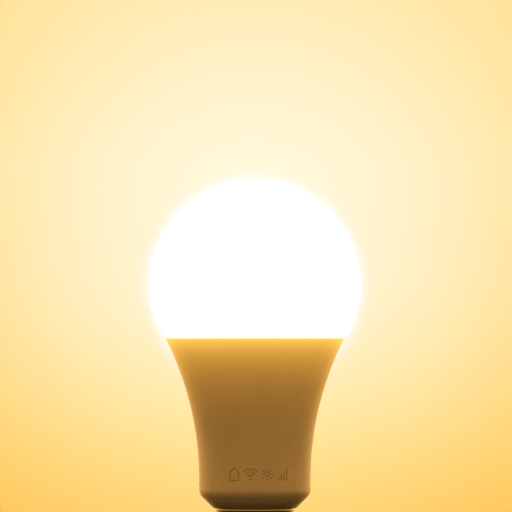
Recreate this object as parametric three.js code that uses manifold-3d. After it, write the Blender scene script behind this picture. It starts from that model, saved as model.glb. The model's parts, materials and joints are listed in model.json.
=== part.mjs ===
// A smart LED light bulb: an opal globe on a flared plastic housing with an E27 screw cap, and the lamp
// board, wireless module and driver that it holds. Millimetres, +Z up along the bulb's axis. The origin is
// the centre of the contact's flat end face, so the cap is at the bottom, and -Y is the bulb's marked front.
import * as THREE from "three";
import { mergeVertices } from "three/addons/utils/BufferGeometryUtils.js";
import Module from "manifold-3d";

const wasm = await Module();
wasm.setup();

// ---- Driving dimensions ----

// Fits
const SEAT_GAP = 0.05; // between flat faces that rest on each other
const SLIP_GAP = 0.3; // between round walls that nest in each other
const OVERCUT = 1; // how far a cutting tool runs out past the faces that it cuts

// Screw cap, size E27
const THREAD_CREST_R = 13.15;
const THREAD_DEPTH = 1.1;
const THREAD_PITCH = 3.629;
const THREAD_LENGTH = 15.0;
const CAP_WALL = 0.3;
const CAP_MOUTH_R = 8.7;
const CAP_MOUTH_Z = 4.4;
const MOUTH_CURVE = 2.7; // height of the turned-in curve under the thread
const COLLAR_STEP = 0.15; // how far the collar stands out past the thread's crests
const COLLAR_HEIGHT = 5.2;
const RIM_FLARE = 0.7;
const RIM_FLARE_HEIGHT = 1.3;
const CRIMP_DROP = 3.0; // below the rim
const CRIMP_DEPTH = 0.4;
const CRIMP_COUNT = 8;

// Centre contact and its insulator
const CONTACT_R = 4.9;
const CONTACT_FLAT_R = 3.2;
const CONTACT_HEIGHT = 1.5;
const CONTACT_SHANK_R = 1.2;
const SHANK_PROUD = 0.6; // the riveted shank above the insulator
const INSULATOR_INSIDE = 3.6; // how far the insulator stands inside the cap's mouth
const INSULATOR_LEDGE = 0.9; // the insulator's shoulder over the cap's mouth

// Housing
const HOUSING_WALL = 1.4;
const FOOT_OVERHANG = 0.35; // the chamfer's foot past the cap's rim
const NECK_R = 19.7;
const NECK_FILLET_R = 3.9;
const NECK_STRAIGHT = 4.75; // from the chamfer's corner to where the flare starts
const BODY_HEIGHT = 60.5; // from the cap's rim to the joint with the globe
const JOINT_R = 31.7;
const REBATE_DEPTH = 3.6;
const LEDGE_CLEARANCE = 0.2; // from the rebate's ledge to what lies over it
const STUB_WALL = 2.0;
const STUB_LIFT = 3.6; // above the thread's lower end
const CRIMP_GROOVE_HEIGHT = 1.8;
const LEAD_NOTCH_DEPTH = 1.1;
const LEAD_NOTCH_WIDTH = 1.6;
const LEAD_ON_BOARD = 5.0; // how much of each lead lies on the driver board

// Globe
const GLOBE_OVERHANG = 5.8; // how far its equator stands out past the joint
const GLOBE_WALL = 1.2;
const SHOULDER_R = 19.6; // the tighter curve that brings the globe in to the joint
const SHOULDER_END_DEG = 42;
const SNAP_BEAD = 0.3;
const SNAP_RISE = 1.1; // the bead above the skirt's lower edge
const SEALANT_HEIGHT = 0.6;

// Heat sink, lamp board and what stands on it
const CUP_WALL = 0.9;
const PAD_THICKNESS = 0.3;
const PAD_INSET = 1.0; // from the lamp board's edge
const LAMP_BOARD_THICKNESS = 1.5;
const LED_RING_INSET = 5.6; // from the board's edge to the middle of the white ring
const COLOUR_RING_INSET = 14.1;
const SCREW_RING_INSET = 10.3;
const WHITE_LED_PAIRS = 8;
const COLOUR_LED_DEGREES = [60, 120, 240, 300];
const SCREW_DEGREES = [90, 210, 330];
const LED_LENGTH = 3.5;
const LED_WIDTH = 2.8;
const LED_HEIGHT = 0.7;
const LED_NOTCH = 0.6;
const SCREW_R = 1.4;
const SCREW_LENGTH = 4.6;
const SCREW_HEAD_R = 2.7;
const SCREW_HEAD_HEIGHT = 1.9;
const RECESS_WIDTH = 0.7;
const BOSS_WALL = 1.1;
const BOSS_DEPTH = 3.2;
const WINDOW_MARGIN = 1.1; // round what comes up through the heat sink

// Driver
const SLEEVE_WALL = 0.9;
const SLEEVE_TOP_DROP = 4.0; // below the heat sink's flat top
const SLEEVE_RAIL_LENGTH = 22;
const BOARD_THICKNESS = 1.6;
const BOARD_SIDE_ROOM = 2.0; // between the board's edge and the sleeve's bore
const BOARD_TOP_DROP = 3.2;
const BOARD_FOOT_LIFT = 2.0; // above the stub's lower end
const TONGUE_SIDE_ROOM = 2.2; // between the tongue's edge and the stub's bore
const BOARD_FOOT_GAP = 0.5; // from the sleeve's lower edge up to the board's wide part
const RAIL_WIDTH = 1.0;
const RAIL_GRIP = 1.0; // how far the sleeve's rails reach in over the board's edges
const PART_MARGIN = 2.0; // from the board's wide part's lower edge up to the first part
const PIN_MARGIN = 1.0; // from the topmost parts up to the pins' tails and the module

// Wireless module and board-to-board connector
const MODULE_HALF_WIDTH = 8.0;
const MODULE_THICKNESS = 0.8;
const MODULE_ABOVE_LAMP_BOARD = 8.4;
const MODULE_HEIGHT = 22.0;
const MODULE_STANDOFF = 0.9;
const SHIELD_HALF_WIDTH = 6.0;
const SHIELD_DEPTH = 2.2;
const PIN_PITCH = 2.54;
const PIN_COUNT = 5;
const PIN_SIDE = 0.64;
const PIN_TAIL = 1.5;
const STRIP_DEPTH = 2.5;
const STRIP_DROP = 4.5; // from the driver board's top edge to the strip's underside
const SOCKET_HEIGHT = 4.0;

// Facets
const ROUND = 32;
const HIDDEN_ROUND = 24;
const SMALL_ROUND = 12;

// ---- Sizes worked out from those ----

const THREAD_START_Z = CAP_MOUTH_Z + CAP_WALL + MOUTH_CURVE;
const THREAD_END_Z = THREAD_START_Z + THREAD_LENGTH;
const COLLAR_R = THREAD_CREST_R + COLLAR_STEP;
const RIM_R = COLLAR_R + RIM_FLARE;
const RIM_Z = THREAD_END_Z + COLLAR_HEIGHT;
const CRIMP_Z = RIM_Z - CRIMP_DROP;
const INSULATOR_TOP_Z = CAP_MOUTH_Z + INSULATOR_INSIDE;
const CONTACT_SHANK_TOP_Z = INSULATOR_TOP_Z + SHANK_PROUD;

const CHAMFER_FOOT_R = RIM_R + FOOT_OVERHANG;
const SEAT_Z = RIM_Z + SLIP_GAP; // the housing's shoulder, which the cap's rim sits under
const CHAMFER_CORNER_Z = SEAT_Z + (NECK_R - CHAMFER_FOOT_R);
const FLARE_START_Z = CHAMFER_CORNER_Z + NECK_STRAIGHT;
const JOINT_Z = RIM_Z + BODY_HEIGHT;
const FLARE_RISE = JOINT_Z - FLARE_START_Z;
const FLARE_RUN = JOINT_R - NECK_R;
const FLARE_R = (FLARE_RISE ** 2 + FLARE_RUN ** 2) / (2 * FLARE_RUN);

const REBATE_Z = JOINT_Z - REBATE_DEPTH;
const REBATE_R = flareRadius(REBATE_Z, HOUSING_WALL) + SLIP_GAP;
const SKIRT_R = REBATE_R - SLIP_GAP / 2;
const SKIRT_BORE_R = SKIRT_R - GLOBE_WALL;
const SKIRT_BOTTOM_Z = REBATE_Z + SEALANT_HEIGHT + LEDGE_CLEARANCE;
const SNAP_Z = SKIRT_BOTTOM_Z + SNAP_RISE;

const LAMP_BOARD_TOP_Z = REBATE_Z + LEDGE_CLEARANCE;
const LAMP_BOARD_Z = LAMP_BOARD_TOP_Z - LAMP_BOARD_THICKNESS;
const LAMP_BOARD_R = SKIRT_BORE_R - 2 * SLIP_GAP;
const PAD_Z = LAMP_BOARD_Z - SEAT_GAP - PAD_THICKNESS;
const CUP_TOP_Z = PAD_Z - SEAT_GAP;
const CUP_INSET = HOUSING_WALL + SLIP_GAP;
const LED_RING_R = LAMP_BOARD_R - LED_RING_INSET;
const COLOUR_RING_R = LAMP_BOARD_R - COLOUR_RING_INSET;
const SCREW_RING_R = LAMP_BOARD_R - SCREW_RING_INSET;

const SLEEVE_INSET = CUP_INSET + CUP_WALL + SLIP_GAP;
const SLEEVE_R = NECK_R - SLEEVE_INSET;
const SLEEVE_BORE_R = SLEEVE_R - SLEEVE_WALL;
const SLEEVE_BOTTOM_Z = chamferFloorZ(SLEEVE_R) + SLIP_GAP;

const COLLAR_BORE_R = COLLAR_R - CAP_WALL;
const THREAD_BORE_R = THREAD_CREST_R - THREAD_DEPTH - CAP_WALL;
const STUB_R = THREAD_BORE_R - SLIP_GAP;
const STUB_BORE_R = STUB_R - STUB_WALL;
const STUB_COLLAR_R = COLLAR_BORE_R - SLIP_GAP;
const STUB_BOTTOM_Z = THREAD_START_Z + STUB_LIFT;

const BOARD_HALF_WIDTH = SLEEVE_BORE_R - BOARD_SIDE_ROOM;
const BOARD_TOP_Z = CUP_TOP_Z - CUP_WALL - BOARD_TOP_DROP;
const BOARD_BOTTOM_Z = STUB_BOTTOM_Z + BOARD_FOOT_LIFT;
const BOARD_FRONT_Y = -BOARD_THICKNESS / 2;
const BOARD_BACK_Y = BOARD_THICKNESS / 2;
const TONGUE_HALF_WIDTH = STUB_BORE_R - TONGUE_SIDE_ROOM;
const TONGUE_TOP_Z = SLEEVE_BOTTOM_Z + BOARD_FOOT_GAP;

const MODULE_FRONT_Y = BOARD_BACK_Y + MODULE_STANDOFF;
const MODULE_BACK_Y = MODULE_FRONT_Y + MODULE_THICKNESS;
const MODULE_TOP_Z = LAMP_BOARD_TOP_Z + MODULE_ABOVE_LAMP_BOARD;
const MODULE_BOTTOM_Z = MODULE_TOP_Z - MODULE_HEIGHT;
const PIN_Y = BOARD_FRONT_Y - SEAT_GAP - STRIP_DEPTH / 2;
const STRIP_Z = BOARD_TOP_Z - STRIP_DROP;
const STRIP_HALF_WIDTH = (PIN_COUNT * PIN_PITCH) / 2;

// Where the driver's larger parts may stand: inboard of the rails, under the pin strip and the module
const PART_EDGE_X = BOARD_HALF_WIDTH - RAIL_GRIP - SLIP_GAP;
const PART_FOOT_Z = TONGUE_TOP_Z + PART_MARGIN;
const FRONT_PARTS_TOP_Z = STRIP_Z - PIN_TAIL - PIN_MARGIN;
const BACK_PARTS_TOP_Z = MODULE_BOTTOM_Z - PIN_MARGIN;

// ---- Shape helpers ----

/** Radius of the flared body at a height. The inset is measured square to the outer skin. */
function flareRadius(z, inset = 0) {
  const rise = Math.max(0, z - FLARE_START_Z);
  return NECK_R + FLARE_R - Math.sqrt((FLARE_R + inset) ** 2 - rise ** 2);
}

/** Height of the chamfer's inner face, the housing's wall measured square to the outer one. */
function chamferFloorZ(radius) {
  return SEAT_Z + (radius - CHAMFER_FOOT_R) + HOUSING_WALL * Math.SQRT2;
}

/** [radius, height] points up a wall of the flared body. */
function flareWall(fromZ, toZ, inset, steps) {
  return Array.from({ length: steps + 1 }, (_, i) => {
    const z = fromZ + ((toZ - fromZ) * i) / steps;
    return [flareRadius(z, inset), z];
  });
}

/** [radius, height] points on an arc, between two angles in degrees from the outward direction. */
function arc([centreR, centreZ], radius, fromDeg, toDeg, steps) {
  return Array.from({ length: steps + 1 }, (_, i) => {
    const angle = THREE.MathUtils.degToRad(fromDeg + ((toDeg - fromDeg) * i) / steps);
    return [centreR + radius * Math.cos(angle), centreZ + radius * Math.sin(angle)];
  });
}

/** A body turned about Z. Its profile goes up the outside first, and closes on itself or ends on the axis. */
function turned(profile, segments = ROUND) {
  const points = profile.map(([radius, height]) => new THREE.Vector2(radius, height));
  return new THREE.LatheGeometry(points, segments).rotateX(Math.PI / 2);
}

/** The same, for a ring or tube: the profile's first point is added again at its end. */
function turnedRing(profile, segments = ROUND) {
  return turned([...profile, profile[0]], segments);
}

/** A closed wall of even thickness inside a line of [radius, height] points that climbs. */
function wallInside(line, thickness) {
  const inner = line.map((point, i) => {
    const before = line[Math.max(0, i - 1)];
    const after = line[Math.min(line.length - 1, i + 1)];
    const length = Math.hypot(after[0] - before[0], after[1] - before[1]);
    const normal = [-(after[1] - before[1]) / length, (after[0] - before[0]) / length];
    return [point[0] + thickness * normal[0], point[1] + thickness * normal[1]];
  });
  return [...line, ...inner.reverse()];
}

/** A box between two limits on each axis. */
function block([x0, x1], [y0, y1], [z0, z1]) {
  const box = new THREE.BoxGeometry(x1 - x0, y1 - y0, z1 - z0);
  return box.translate((x0 + x1) / 2, (y0 + y1) / 2, (z0 + z1) / 2);
}

/** An upright cylinder that stands on a height. */
function post(radius, [z0, z1], [x, y] = [0, 0], segments = SMALL_ROUND) {
  const cylinder = new THREE.CylinderGeometry(radius, radius, z1 - z0, segments).rotateX(Math.PI / 2);
  return cylinder.translate(x, y, (z0 + z1) / 2);
}

/** A place on a ring about the axis. */
function onRing(radius, degrees) {
  const angle = THREE.MathUtils.degToRad(degrees);
  return [radius * Math.cos(angle), radius * Math.sin(angle)];
}

/** A round wire along a smooth path. */
function wire(points, radius, steps, sides = 8) {
  const path = new THREE.CatmullRomCurve3(points.map((p) => new THREE.Vector3(...p)));
  const section = new THREE.Shape();
  for (let i = 0; i < sides; i++) {
    const [x, y] = onRing(radius, (i * 360) / sides);
    if (i === 0) section.moveTo(x, y);
    else section.lineTo(x, y);
  }
  return new THREE.ExtrudeGeometry(section, { steps, extrudePath: path });
}

/** A closed geometry as a manifold-3d solid. */
function solidOf(geometry) {
  const bare = geometry.clone();
  bare.deleteAttribute("normal");
  bare.deleteAttribute("uv");
  const merged = mergeVertices(bare, 1e-3);
  const triVerts = new Uint32Array(merged.index.array);
  return new wasm.Manifold(
    new wasm.Mesh({ numProp: 3, vertProperties: merged.attributes.position.array, triVerts }),
  );
}

/** A manifold-3d solid as a geometry. */
function geometryOf(solid) {
  const mesh = solid.getMesh();
  const geometry = new THREE.BufferGeometry();
  geometry.setAttribute("position", new THREE.BufferAttribute(new Float32Array(mesh.vertProperties), 3));
  geometry.setIndex(new THREE.BufferAttribute(new Uint32Array(mesh.triVerts), 1));
  return geometry;
}

function cut(body, ...tools) {
  return geometryOf(tools.reduce((left, tool) => left.subtract(solidOf(tool)), solidOf(body)));
}

function joined(...bodies) {
  return geometryOf(bodies.map(solidOf).reduce((sum, body) => sum.add(body)));
}

// ---- Finishes ----

function finish(color, roughness, metalness = 0) {
  return new THREE.MeshStandardMaterial({ color, roughness, metalness });
}

const OPAL = finish(0xfff6e2, 0.4);
OPAL.emissive = new THREE.Color(0xffe9c0);
const HOUSING_WHITE = finish(0xf1e6cf, 0.42);
const ALUMINIUM = finish(0xc9cbcd, 0.4, 0.9);
const PAD_GREY = finish(0x9aa0a6, 0.8);
const BOARD_WHITE = finish(0xf3f2ec, 0.45);
const BOARD_GREEN = finish(0x2f6b45, 0.5);
const BOARD_BLUE = finish(0x27507c, 0.5);
const LED_WARM = finish(0xf2b84b, 0.35);
const LED_COOL = finish(0xf3e08a, 0.35);
const LED_COLOUR = finish(0xe8e6e0, 0.3);
const NICKEL = finish(0xcfcac0, 0.28, 1);
const STEEL = finish(0xb8b9ba, 0.35, 1);
const BRASS = finish(0xc9a45a, 0.3, 1);
const BLACK_INSULATOR = finish(0x17161a, 0.25);
const BLACK_PLASTIC = finish(0x202124, 0.5);
const WHITE_PLASTIC = finish(0xeeeae0, 0.5);
const SLEEVE_PLASTIC = finish(0xdcdad2, 0.55);
const CAN_SLEEVE = finish(0x232c49, 0.35);
const FERRITE = finish(0x3a3a3d, 0.7);
const COPPER = finish(0xb5652b, 0.35, 0.9);
const FILM_YELLOW = finish(0xe0a62b, 0.4);
const VARISTOR_BLUE = finish(0x2b62a8, 0.4);
const RESISTOR_GREEN = finish(0x6f9a86, 0.45);
const SILICONE = finish(0xf4f3ef, 0.6);
const WIRE_RED = finish(0xb3352c, 0.5);
const WIRE_BLACK = finish(0x26262a, 0.5);

const bulb = new THREE.Group();
bulb.name = "smart_light_bulb";

/** Adds a named piece, turned about Z and then moved. */
function add(name, geometry, material, [x, y, z] = [0, 0, 0], turnDeg = 0) {
  const mesh = new THREE.Mesh(geometry, material);
  mesh.name = name;
  mesh.position.set(x, y, z);
  mesh.rotation.z = THREE.MathUtils.degToRad(turnDeg);
  bulb.add(mesh);
}

// ---- Globe ----

/** The opal globe: most of a sphere, a shoulder that comes in to the joint, and a skirt with a snap bead. */
function diffuserDome() {
  const globeR = JOINT_R + GLOBE_OVERHANG;
  const end = THREE.MathUtils.degToRad(SHOULDER_END_DEG);
  const shoulderCentreR = JOINT_R - SHOULDER_R * Math.cos(end);
  const blendDeg = THREE.MathUtils.radToDeg(Math.acos(shoulderCentreR / (globeR - SHOULDER_R)));
  const blend = THREE.MathUtils.degToRad(blendDeg);
  const lipZ = JOINT_Z + SLIP_GAP / 2;
  const shoulderCentre = [shoulderCentreR, lipZ + SHOULDER_R * Math.sin(end)];
  const globeCentre = [0, shoulderCentre[1] + (globeR - SHOULDER_R) * Math.sin(blend)];
  const flangeTopZ = lipZ + GLOBE_WALL;
  const innerShoulderR = SHOULDER_R - GLOBE_WALL;
  const innerEndDeg = THREE.MathUtils.radToDeg(
    Math.asin((shoulderCentre[1] - flangeTopZ) / innerShoulderR),
  );
  const skirt = [
    [SKIRT_BORE_R, SKIRT_BOTTOM_Z],
    [SKIRT_R, SKIRT_BOTTOM_Z],
    [SKIRT_R, SNAP_Z - SNAP_BEAD],
    [SKIRT_R + SNAP_BEAD, SNAP_Z],
    [SKIRT_R, SNAP_Z + SNAP_BEAD],
    [SKIRT_R, lipZ],
  ];
  return turned([
    ...arc(globeCentre, globeR - GLOBE_WALL, 90, -blendDeg, 8).map(onAxis),
    ...arc(shoulderCentre, innerShoulderR, -blendDeg, -innerEndDeg, 3).slice(1),
    [SKIRT_BORE_R, flangeTopZ],
    ...skirt,
    ...arc(shoulderCentre, SHOULDER_R, -SHOULDER_END_DEG, -blendDeg, 3),
    ...arc(globeCentre, globeR, -blendDeg, 90, 11).slice(1).map(onAxis),
  ]);
}

/** Puts a point that belongs on the axis exactly there. */
function onAxis([radius, height]) {
  return [Math.abs(radius) < 1e-6 ? 0 : radius, height];
}

function sealantRing() {
  const bottom = REBATE_Z + SEAT_GAP;
  return turnedRing([
    [SKIRT_BORE_R + SEAT_GAP, bottom],
    [SKIRT_R, bottom],
    [SKIRT_R, bottom + SEALANT_HEIGHT],
    [SKIRT_BORE_R + SEAT_GAP, bottom + SEALANT_HEIGHT],
  ]);
}

// ---- Housing ----

/** The plastic body: a stub that takes the cap, a chamfer, a straight neck, a flare, and a rebated rim. */
function housingShell() {
  const fillet = NECK_FILLET_R * Math.tan(Math.PI / 8);
  const filletCentre = [NECK_R - NECK_FILLET_R, CHAMFER_CORNER_Z + fillet];
  const neckBoreR = NECK_R - HOUSING_WALL;
  const grooveR = STUB_COLLAR_R - CRIMP_DEPTH - SLIP_GAP;
  const catchR = REBATE_R + SNAP_BEAD;
  const shell = turnedRing([
    [STUB_BORE_R, STUB_BOTTOM_Z],
    [STUB_R, STUB_BOTTOM_Z],
    [STUB_R, THREAD_END_Z + SLIP_GAP],
    [grooveR, THREAD_END_Z + SLIP_GAP + (grooveR - STUB_R)],
    [grooveR, CRIMP_Z + SLIP_GAP],
    [STUB_COLLAR_R, CRIMP_Z + CRIMP_GROOVE_HEIGHT / 2],
    [STUB_COLLAR_R, SEAT_Z],
    [CHAMFER_FOOT_R, SEAT_Z],
    ...arc(filletCentre, NECK_FILLET_R, -45, 0, 3),
    ...flareWall(FLARE_START_Z, JOINT_Z, 0, 10),
    [REBATE_R, JOINT_Z],
    [REBATE_R, SNAP_Z + SNAP_BEAD],
    [catchR, SNAP_Z],
    [REBATE_R, SNAP_Z - SNAP_BEAD],
    [REBATE_R, REBATE_Z],
    ...flareWall(FLARE_START_Z, REBATE_Z, HOUSING_WALL, 7).reverse(),
    [neckBoreR, chamferFloorZ(neckBoreR)],
    [STUB_BORE_R, chamferFloorZ(STUB_BORE_R)],
  ]);
  const notchR = STUB_R - LEAD_NOTCH_DEPTH;
  const notchZ = [STUB_BOTTOM_Z - OVERCUT, THREAD_END_Z - 1];
  const notchY = [-LEAD_NOTCH_WIDTH / 2, LEAD_NOTCH_WIDTH / 2];
  const leadNotch = block([notchR, STUB_R + OVERCUT], notchY, notchZ);
  return cut(shell, leadNotch);
}

// ---- Heat sink ----

/** Where the driver's top edge, its pins and the wireless module come up through a flat sheet. */
function serviceWindow(heights) {
  return block(
    [-MODULE_HALF_WIDTH - WINDOW_MARGIN, MODULE_HALF_WIDTH + WINDOW_MARGIN],
    [PIN_Y - STRIP_DEPTH / 2 - WINDOW_MARGIN, MODULE_BACK_Y + SHIELD_DEPTH + WINDOW_MARGIN],
    heights,
  );
}

/** The drawn aluminium cup behind the lamp board, with a screw boss under each screw. */
function heatSinkCup() {
  const bottomZ = chamferFloorZ(NECK_R - CUP_INSET) + SLIP_GAP;
  const underTopZ = CUP_TOP_Z - CUP_WALL;
  const innerInset = CUP_INSET + CUP_WALL;
  const cup = turned([
    [0, underTopZ],
    ...flareWall(FLARE_START_Z, underTopZ, innerInset, 6).reverse(),
    [NECK_R - innerInset, bottomZ],
    [NECK_R - CUP_INSET, bottomZ],
    ...flareWall(FLARE_START_Z, CUP_TOP_Z, CUP_INSET, 7),
    [0, CUP_TOP_Z],
  ]);
  const places = SCREW_DEGREES.map((degrees) => onRing(SCREW_RING_R, degrees));
  const bossZ = underTopZ - BOSS_DEPTH;
  const holeR = SCREW_R + SLIP_GAP / 2;
  const bosses = places.map((at) => post(holeR + BOSS_WALL, [bossZ, CUP_TOP_Z - CUP_WALL / 2], at));
  const through = [bossZ - OVERCUT, CUP_TOP_Z + OVERCUT];
  const holes = places.map((at) => post(holeR, through, at));
  return cut(joined(cup, ...bosses), ...holes, serviceWindow(through));
}

/** A flat round sheet with the screw holes in it. */
function drilledDisc(radius, [z0, z1]) {
  const holes = SCREW_DEGREES.map((degrees) =>
    post(SCREW_R + SLIP_GAP, [z0 - OVERCUT, z1 + OVERCUT], onRing(SCREW_RING_R, degrees)),
  );
  return cut(post(radius, [z0, z1], [0, 0], ROUND), ...holes);
}

function thermalPad() {
  const sheet = drilledDisc(LAMP_BOARD_R - PAD_INSET, [PAD_Z, PAD_Z + PAD_THICKNESS]);
  return cut(sheet, serviceWindow([PAD_Z - OVERCUT, LAMP_BOARD_Z]));
}

// ---- Lamp board ----

/** The round metal-core board, with a slot for the wireless module and one for the driver's pins. */
function lampBoard() {
  const sheet = drilledDisc(LAMP_BOARD_R, [LAMP_BOARD_Z, LAMP_BOARD_TOP_Z]);
  const through = [LAMP_BOARD_Z - OVERCUT, LAMP_BOARD_TOP_Z + OVERCUT];
  const moduleSlot = block(
    [-MODULE_HALF_WIDTH - SLIP_GAP, MODULE_HALF_WIDTH + SLIP_GAP],
    [MODULE_FRONT_Y - SLIP_GAP, MODULE_BACK_Y + SLIP_GAP],
    through,
  );
  const pinReach = ((PIN_COUNT - 1) * PIN_PITCH + PIN_SIDE) / 2 + SLIP_GAP;
  const pinSlot = block(
    [-pinReach, pinReach],
    [PIN_Y - PIN_SIDE / 2 - SLIP_GAP, PIN_Y + PIN_SIDE / 2 + SLIP_GAP],
    through,
  );
  return cut(sheet, moduleSlot, pinSlot);
}

/** One surface-mount LED package, with its polarity corner cut off. */
function ledPackage() {
  const [x, y] = [LED_LENGTH / 2, LED_WIDTH / 2];
  const outline = new THREE.Shape([
    new THREE.Vector2(-x, -y),
    new THREE.Vector2(x, -y),
    new THREE.Vector2(x, y - LED_NOTCH),
    new THREE.Vector2(x - LED_NOTCH, y),
    new THREE.Vector2(-x, y),
  ]);
  return new THREE.ExtrudeGeometry(outline, { depth: LED_HEIGHT, bevelEnabled: false });
}

function addLeds() {
  const seat = LAMP_BOARD_TOP_Z + SEAT_GAP;
  const kinds = [
    ["warm_led", LED_WARM],
    ["cool_led", LED_COOL],
  ];
  const step = 360 / (WHITE_LED_PAIRS * kinds.length);
  for (let pair = 0; pair < WHITE_LED_PAIRS; pair++) {
    kinds.forEach(([name, material], i) => {
      const degrees = (pair * kinds.length + i + 0.5) * step;
      const [x, y] = onRing(LED_RING_R, degrees);
      add(`${name}_${pair + 1}`, ledPackage(), material, [x, y, seat], degrees + 90);
    });
  }
  COLOUR_LED_DEGREES.forEach((degrees, i) => {
    const [x, y] = onRing(COLOUR_RING_R, degrees);
    add(`colour_led_${i + 1}`, ledPackage(), LED_COLOUR, [x, y, seat], degrees + 90);
  });
}

/** A pan-head screw with a cross recess, its head's underside at z = 0. */
function boardScrew() {
  const head = arc([SCREW_HEAD_R - SCREW_HEAD_HEIGHT, 0], SCREW_HEAD_HEIGHT, 0, 90, 3);
  const screw = turned(
    [[0, -SCREW_LENGTH], [SCREW_R, -SCREW_LENGTH], [SCREW_R, 0], ...head, [0, SCREW_HEAD_HEIGHT]],
    SMALL_ROUND,
  );
  const long = [-SCREW_HEAD_R * 0.6, SCREW_HEAD_R * 0.6];
  const narrow = [-RECESS_WIDTH / 2, RECESS_WIDTH / 2];
  const depth = [SCREW_HEAD_HEIGHT * 0.4, SCREW_HEAD_HEIGHT + OVERCUT];
  return cut(screw, block(long, narrow, depth), block(narrow, long, depth));
}

function addScrews() {
  SCREW_DEGREES.forEach((degrees, i) => {
    const [x, y] = onRing(SCREW_RING_R, degrees);
    add(`lamp_board_screw_${i + 1}`, boardScrew(), STEEL, [x, y, LAMP_BOARD_TOP_Z + SEAT_GAP]);
  });
}

// ---- Board-to-board connector ----

function pinPlaces() {
  return Array.from({ length: PIN_COUNT }, (_, i) => (i - (PIN_COUNT - 1) / 2) * PIN_PITCH);
}

function pinBlock(x, side, [z0, z1]) {
  return block([x - side / 2, x + side / 2], [PIN_Y - side / 2, PIN_Y + side / 2], [z0, z1]);
}

/** The driver's pin strip: a plastic bar on the driver board's face with its pins standing up. */
function pinStrip() {
  const bar = block(
    [-STRIP_HALF_WIDTH, STRIP_HALF_WIDTH],
    [PIN_Y - STRIP_DEPTH / 2, PIN_Y + STRIP_DEPTH / 2],
    [STRIP_Z, STRIP_Z + STRIP_DEPTH],
  );
  const topZ = LAMP_BOARD_TOP_Z + SOCKET_HEIGHT - 1;
  return joined(bar, ...pinPlaces().map((x) => pinBlock(x, PIN_SIDE, [STRIP_Z - PIN_TAIL, topZ])));
}

/** The lamp board's socket, which the pins push up into. */
function pinSocket() {
  const z0 = LAMP_BOARD_TOP_Z + SEAT_GAP;
  const body = block(
    [-STRIP_HALF_WIDTH, STRIP_HALF_WIDTH],
    [PIN_Y - STRIP_DEPTH / 2, PIN_Y + STRIP_DEPTH / 2],
    [z0, z0 + SOCKET_HEIGHT],
  );
  const hole = PIN_SIDE + SLIP_GAP;
  const through = [z0 - OVERCUT, z0 + SOCKET_HEIGHT + OVERCUT];
  return cut(body, ...pinPlaces().map((x) => pinBlock(x, hole, through)));
}

// ---- Wireless module ----

function addModule() {
  const board = block(
    [-MODULE_HALF_WIDTH, MODULE_HALF_WIDTH],
    [MODULE_FRONT_Y, MODULE_BACK_Y],
    [MODULE_BOTTOM_Z, MODULE_TOP_Z],
  );
  add("wifi_board", board, BOARD_BLUE);

  const shieldTopZ = CUP_TOP_Z - CUP_WALL - SLIP_GAP;
  const shieldZ = [MODULE_BOTTOM_Z + 1.5, shieldTopZ];
  const shieldY = MODULE_BACK_Y + SEAT_GAP;
  const can = block(
    [-SHIELD_HALF_WIDTH, SHIELD_HALF_WIDTH],
    [shieldY, shieldY + SHIELD_DEPTH],
    shieldZ,
  );
  add("wifi_shield_can", can, STEEL);

  const header = block(
    [-MODULE_HALF_WIDTH + 1, MODULE_HALF_WIDTH - 1],
    [BOARD_BACK_Y + SEAT_GAP, MODULE_FRONT_Y - SEAT_GAP],
    [MODULE_BOTTOM_Z + 1, MODULE_BOTTOM_Z + 3.5],
  );
  add("wifi_header", header, BLACK_PLASTIC);
}

// ---- Driver ----

/** The driver's board: a broad body in the neck and a narrow tongue that reaches down into the cap. */
function driverBoard() {
  const y = [BOARD_FRONT_Y, BOARD_BACK_Y];
  const body = block([-BOARD_HALF_WIDTH, BOARD_HALF_WIDTH], y, [TONGUE_TOP_Z, BOARD_TOP_Z]);
  const tongue = block([-TONGUE_HALF_WIDTH, TONGUE_HALF_WIDTH], y, [BOARD_BOTTOM_Z, TONGUE_TOP_Z + 1]);
  return joined(body, tongue);
}

/** The insulating sleeve round the driver, with two rails for each edge of the board. */
function driverSleeve() {
  const topZ = CUP_TOP_Z - CUP_WALL - SLEEVE_TOP_DROP;
  const line = [[SLEEVE_R, SLEEVE_BOTTOM_Z], ...flareWall(FLARE_START_Z, topZ, SLEEVE_INSET, 5)];
  const tube = turnedRing(wallInside(line, SLEEVE_WALL), HIDDEN_ROUND);
  const railZ = [TONGUE_TOP_Z + RAIL_WIDTH, TONGUE_TOP_Z + RAIL_WIDTH + SLEEVE_RAIL_LENGTH];
  const railX = [BOARD_HALF_WIDTH - RAIL_GRIP, SLEEVE_BORE_R + SLEEVE_WALL / 2];
  const railY = [BOARD_BACK_Y + SLIP_GAP, BOARD_BACK_Y + SLIP_GAP + RAIL_WIDTH];
  const flip = ([a, b]) => [-b, -a];
  const rails = [railX, flip(railX)].flatMap((x) => [railY, flip(railY)].map((y) => block(x, y, railZ)));
  return joined(tube, ...rails);
}

/** A radial capacitor can along Z, with its rolled-in seal groove at the lower end. */
function capacitorCan(radius, height) {
  const groove = radius * 0.12;
  return turned(
    [
      [0, 0],
      [radius, 0],
      [radius, height * 0.08],
      [radius - groove, height * 0.13],
      [radius, height * 0.18],
      [radius, height - groove],
      [radius - groove, height],
      [0, height],
    ],
    SMALL_ROUND,
  );
}

/** The transformer's ferrite core: two E halves that meet, seen as a frame with a middle leg. */
const CORE = { halfWidth: 6, halfHeight: 6, halfDepth: 2.5, leg: 1.5, yoke: 2, window: 2.5 };

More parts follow.
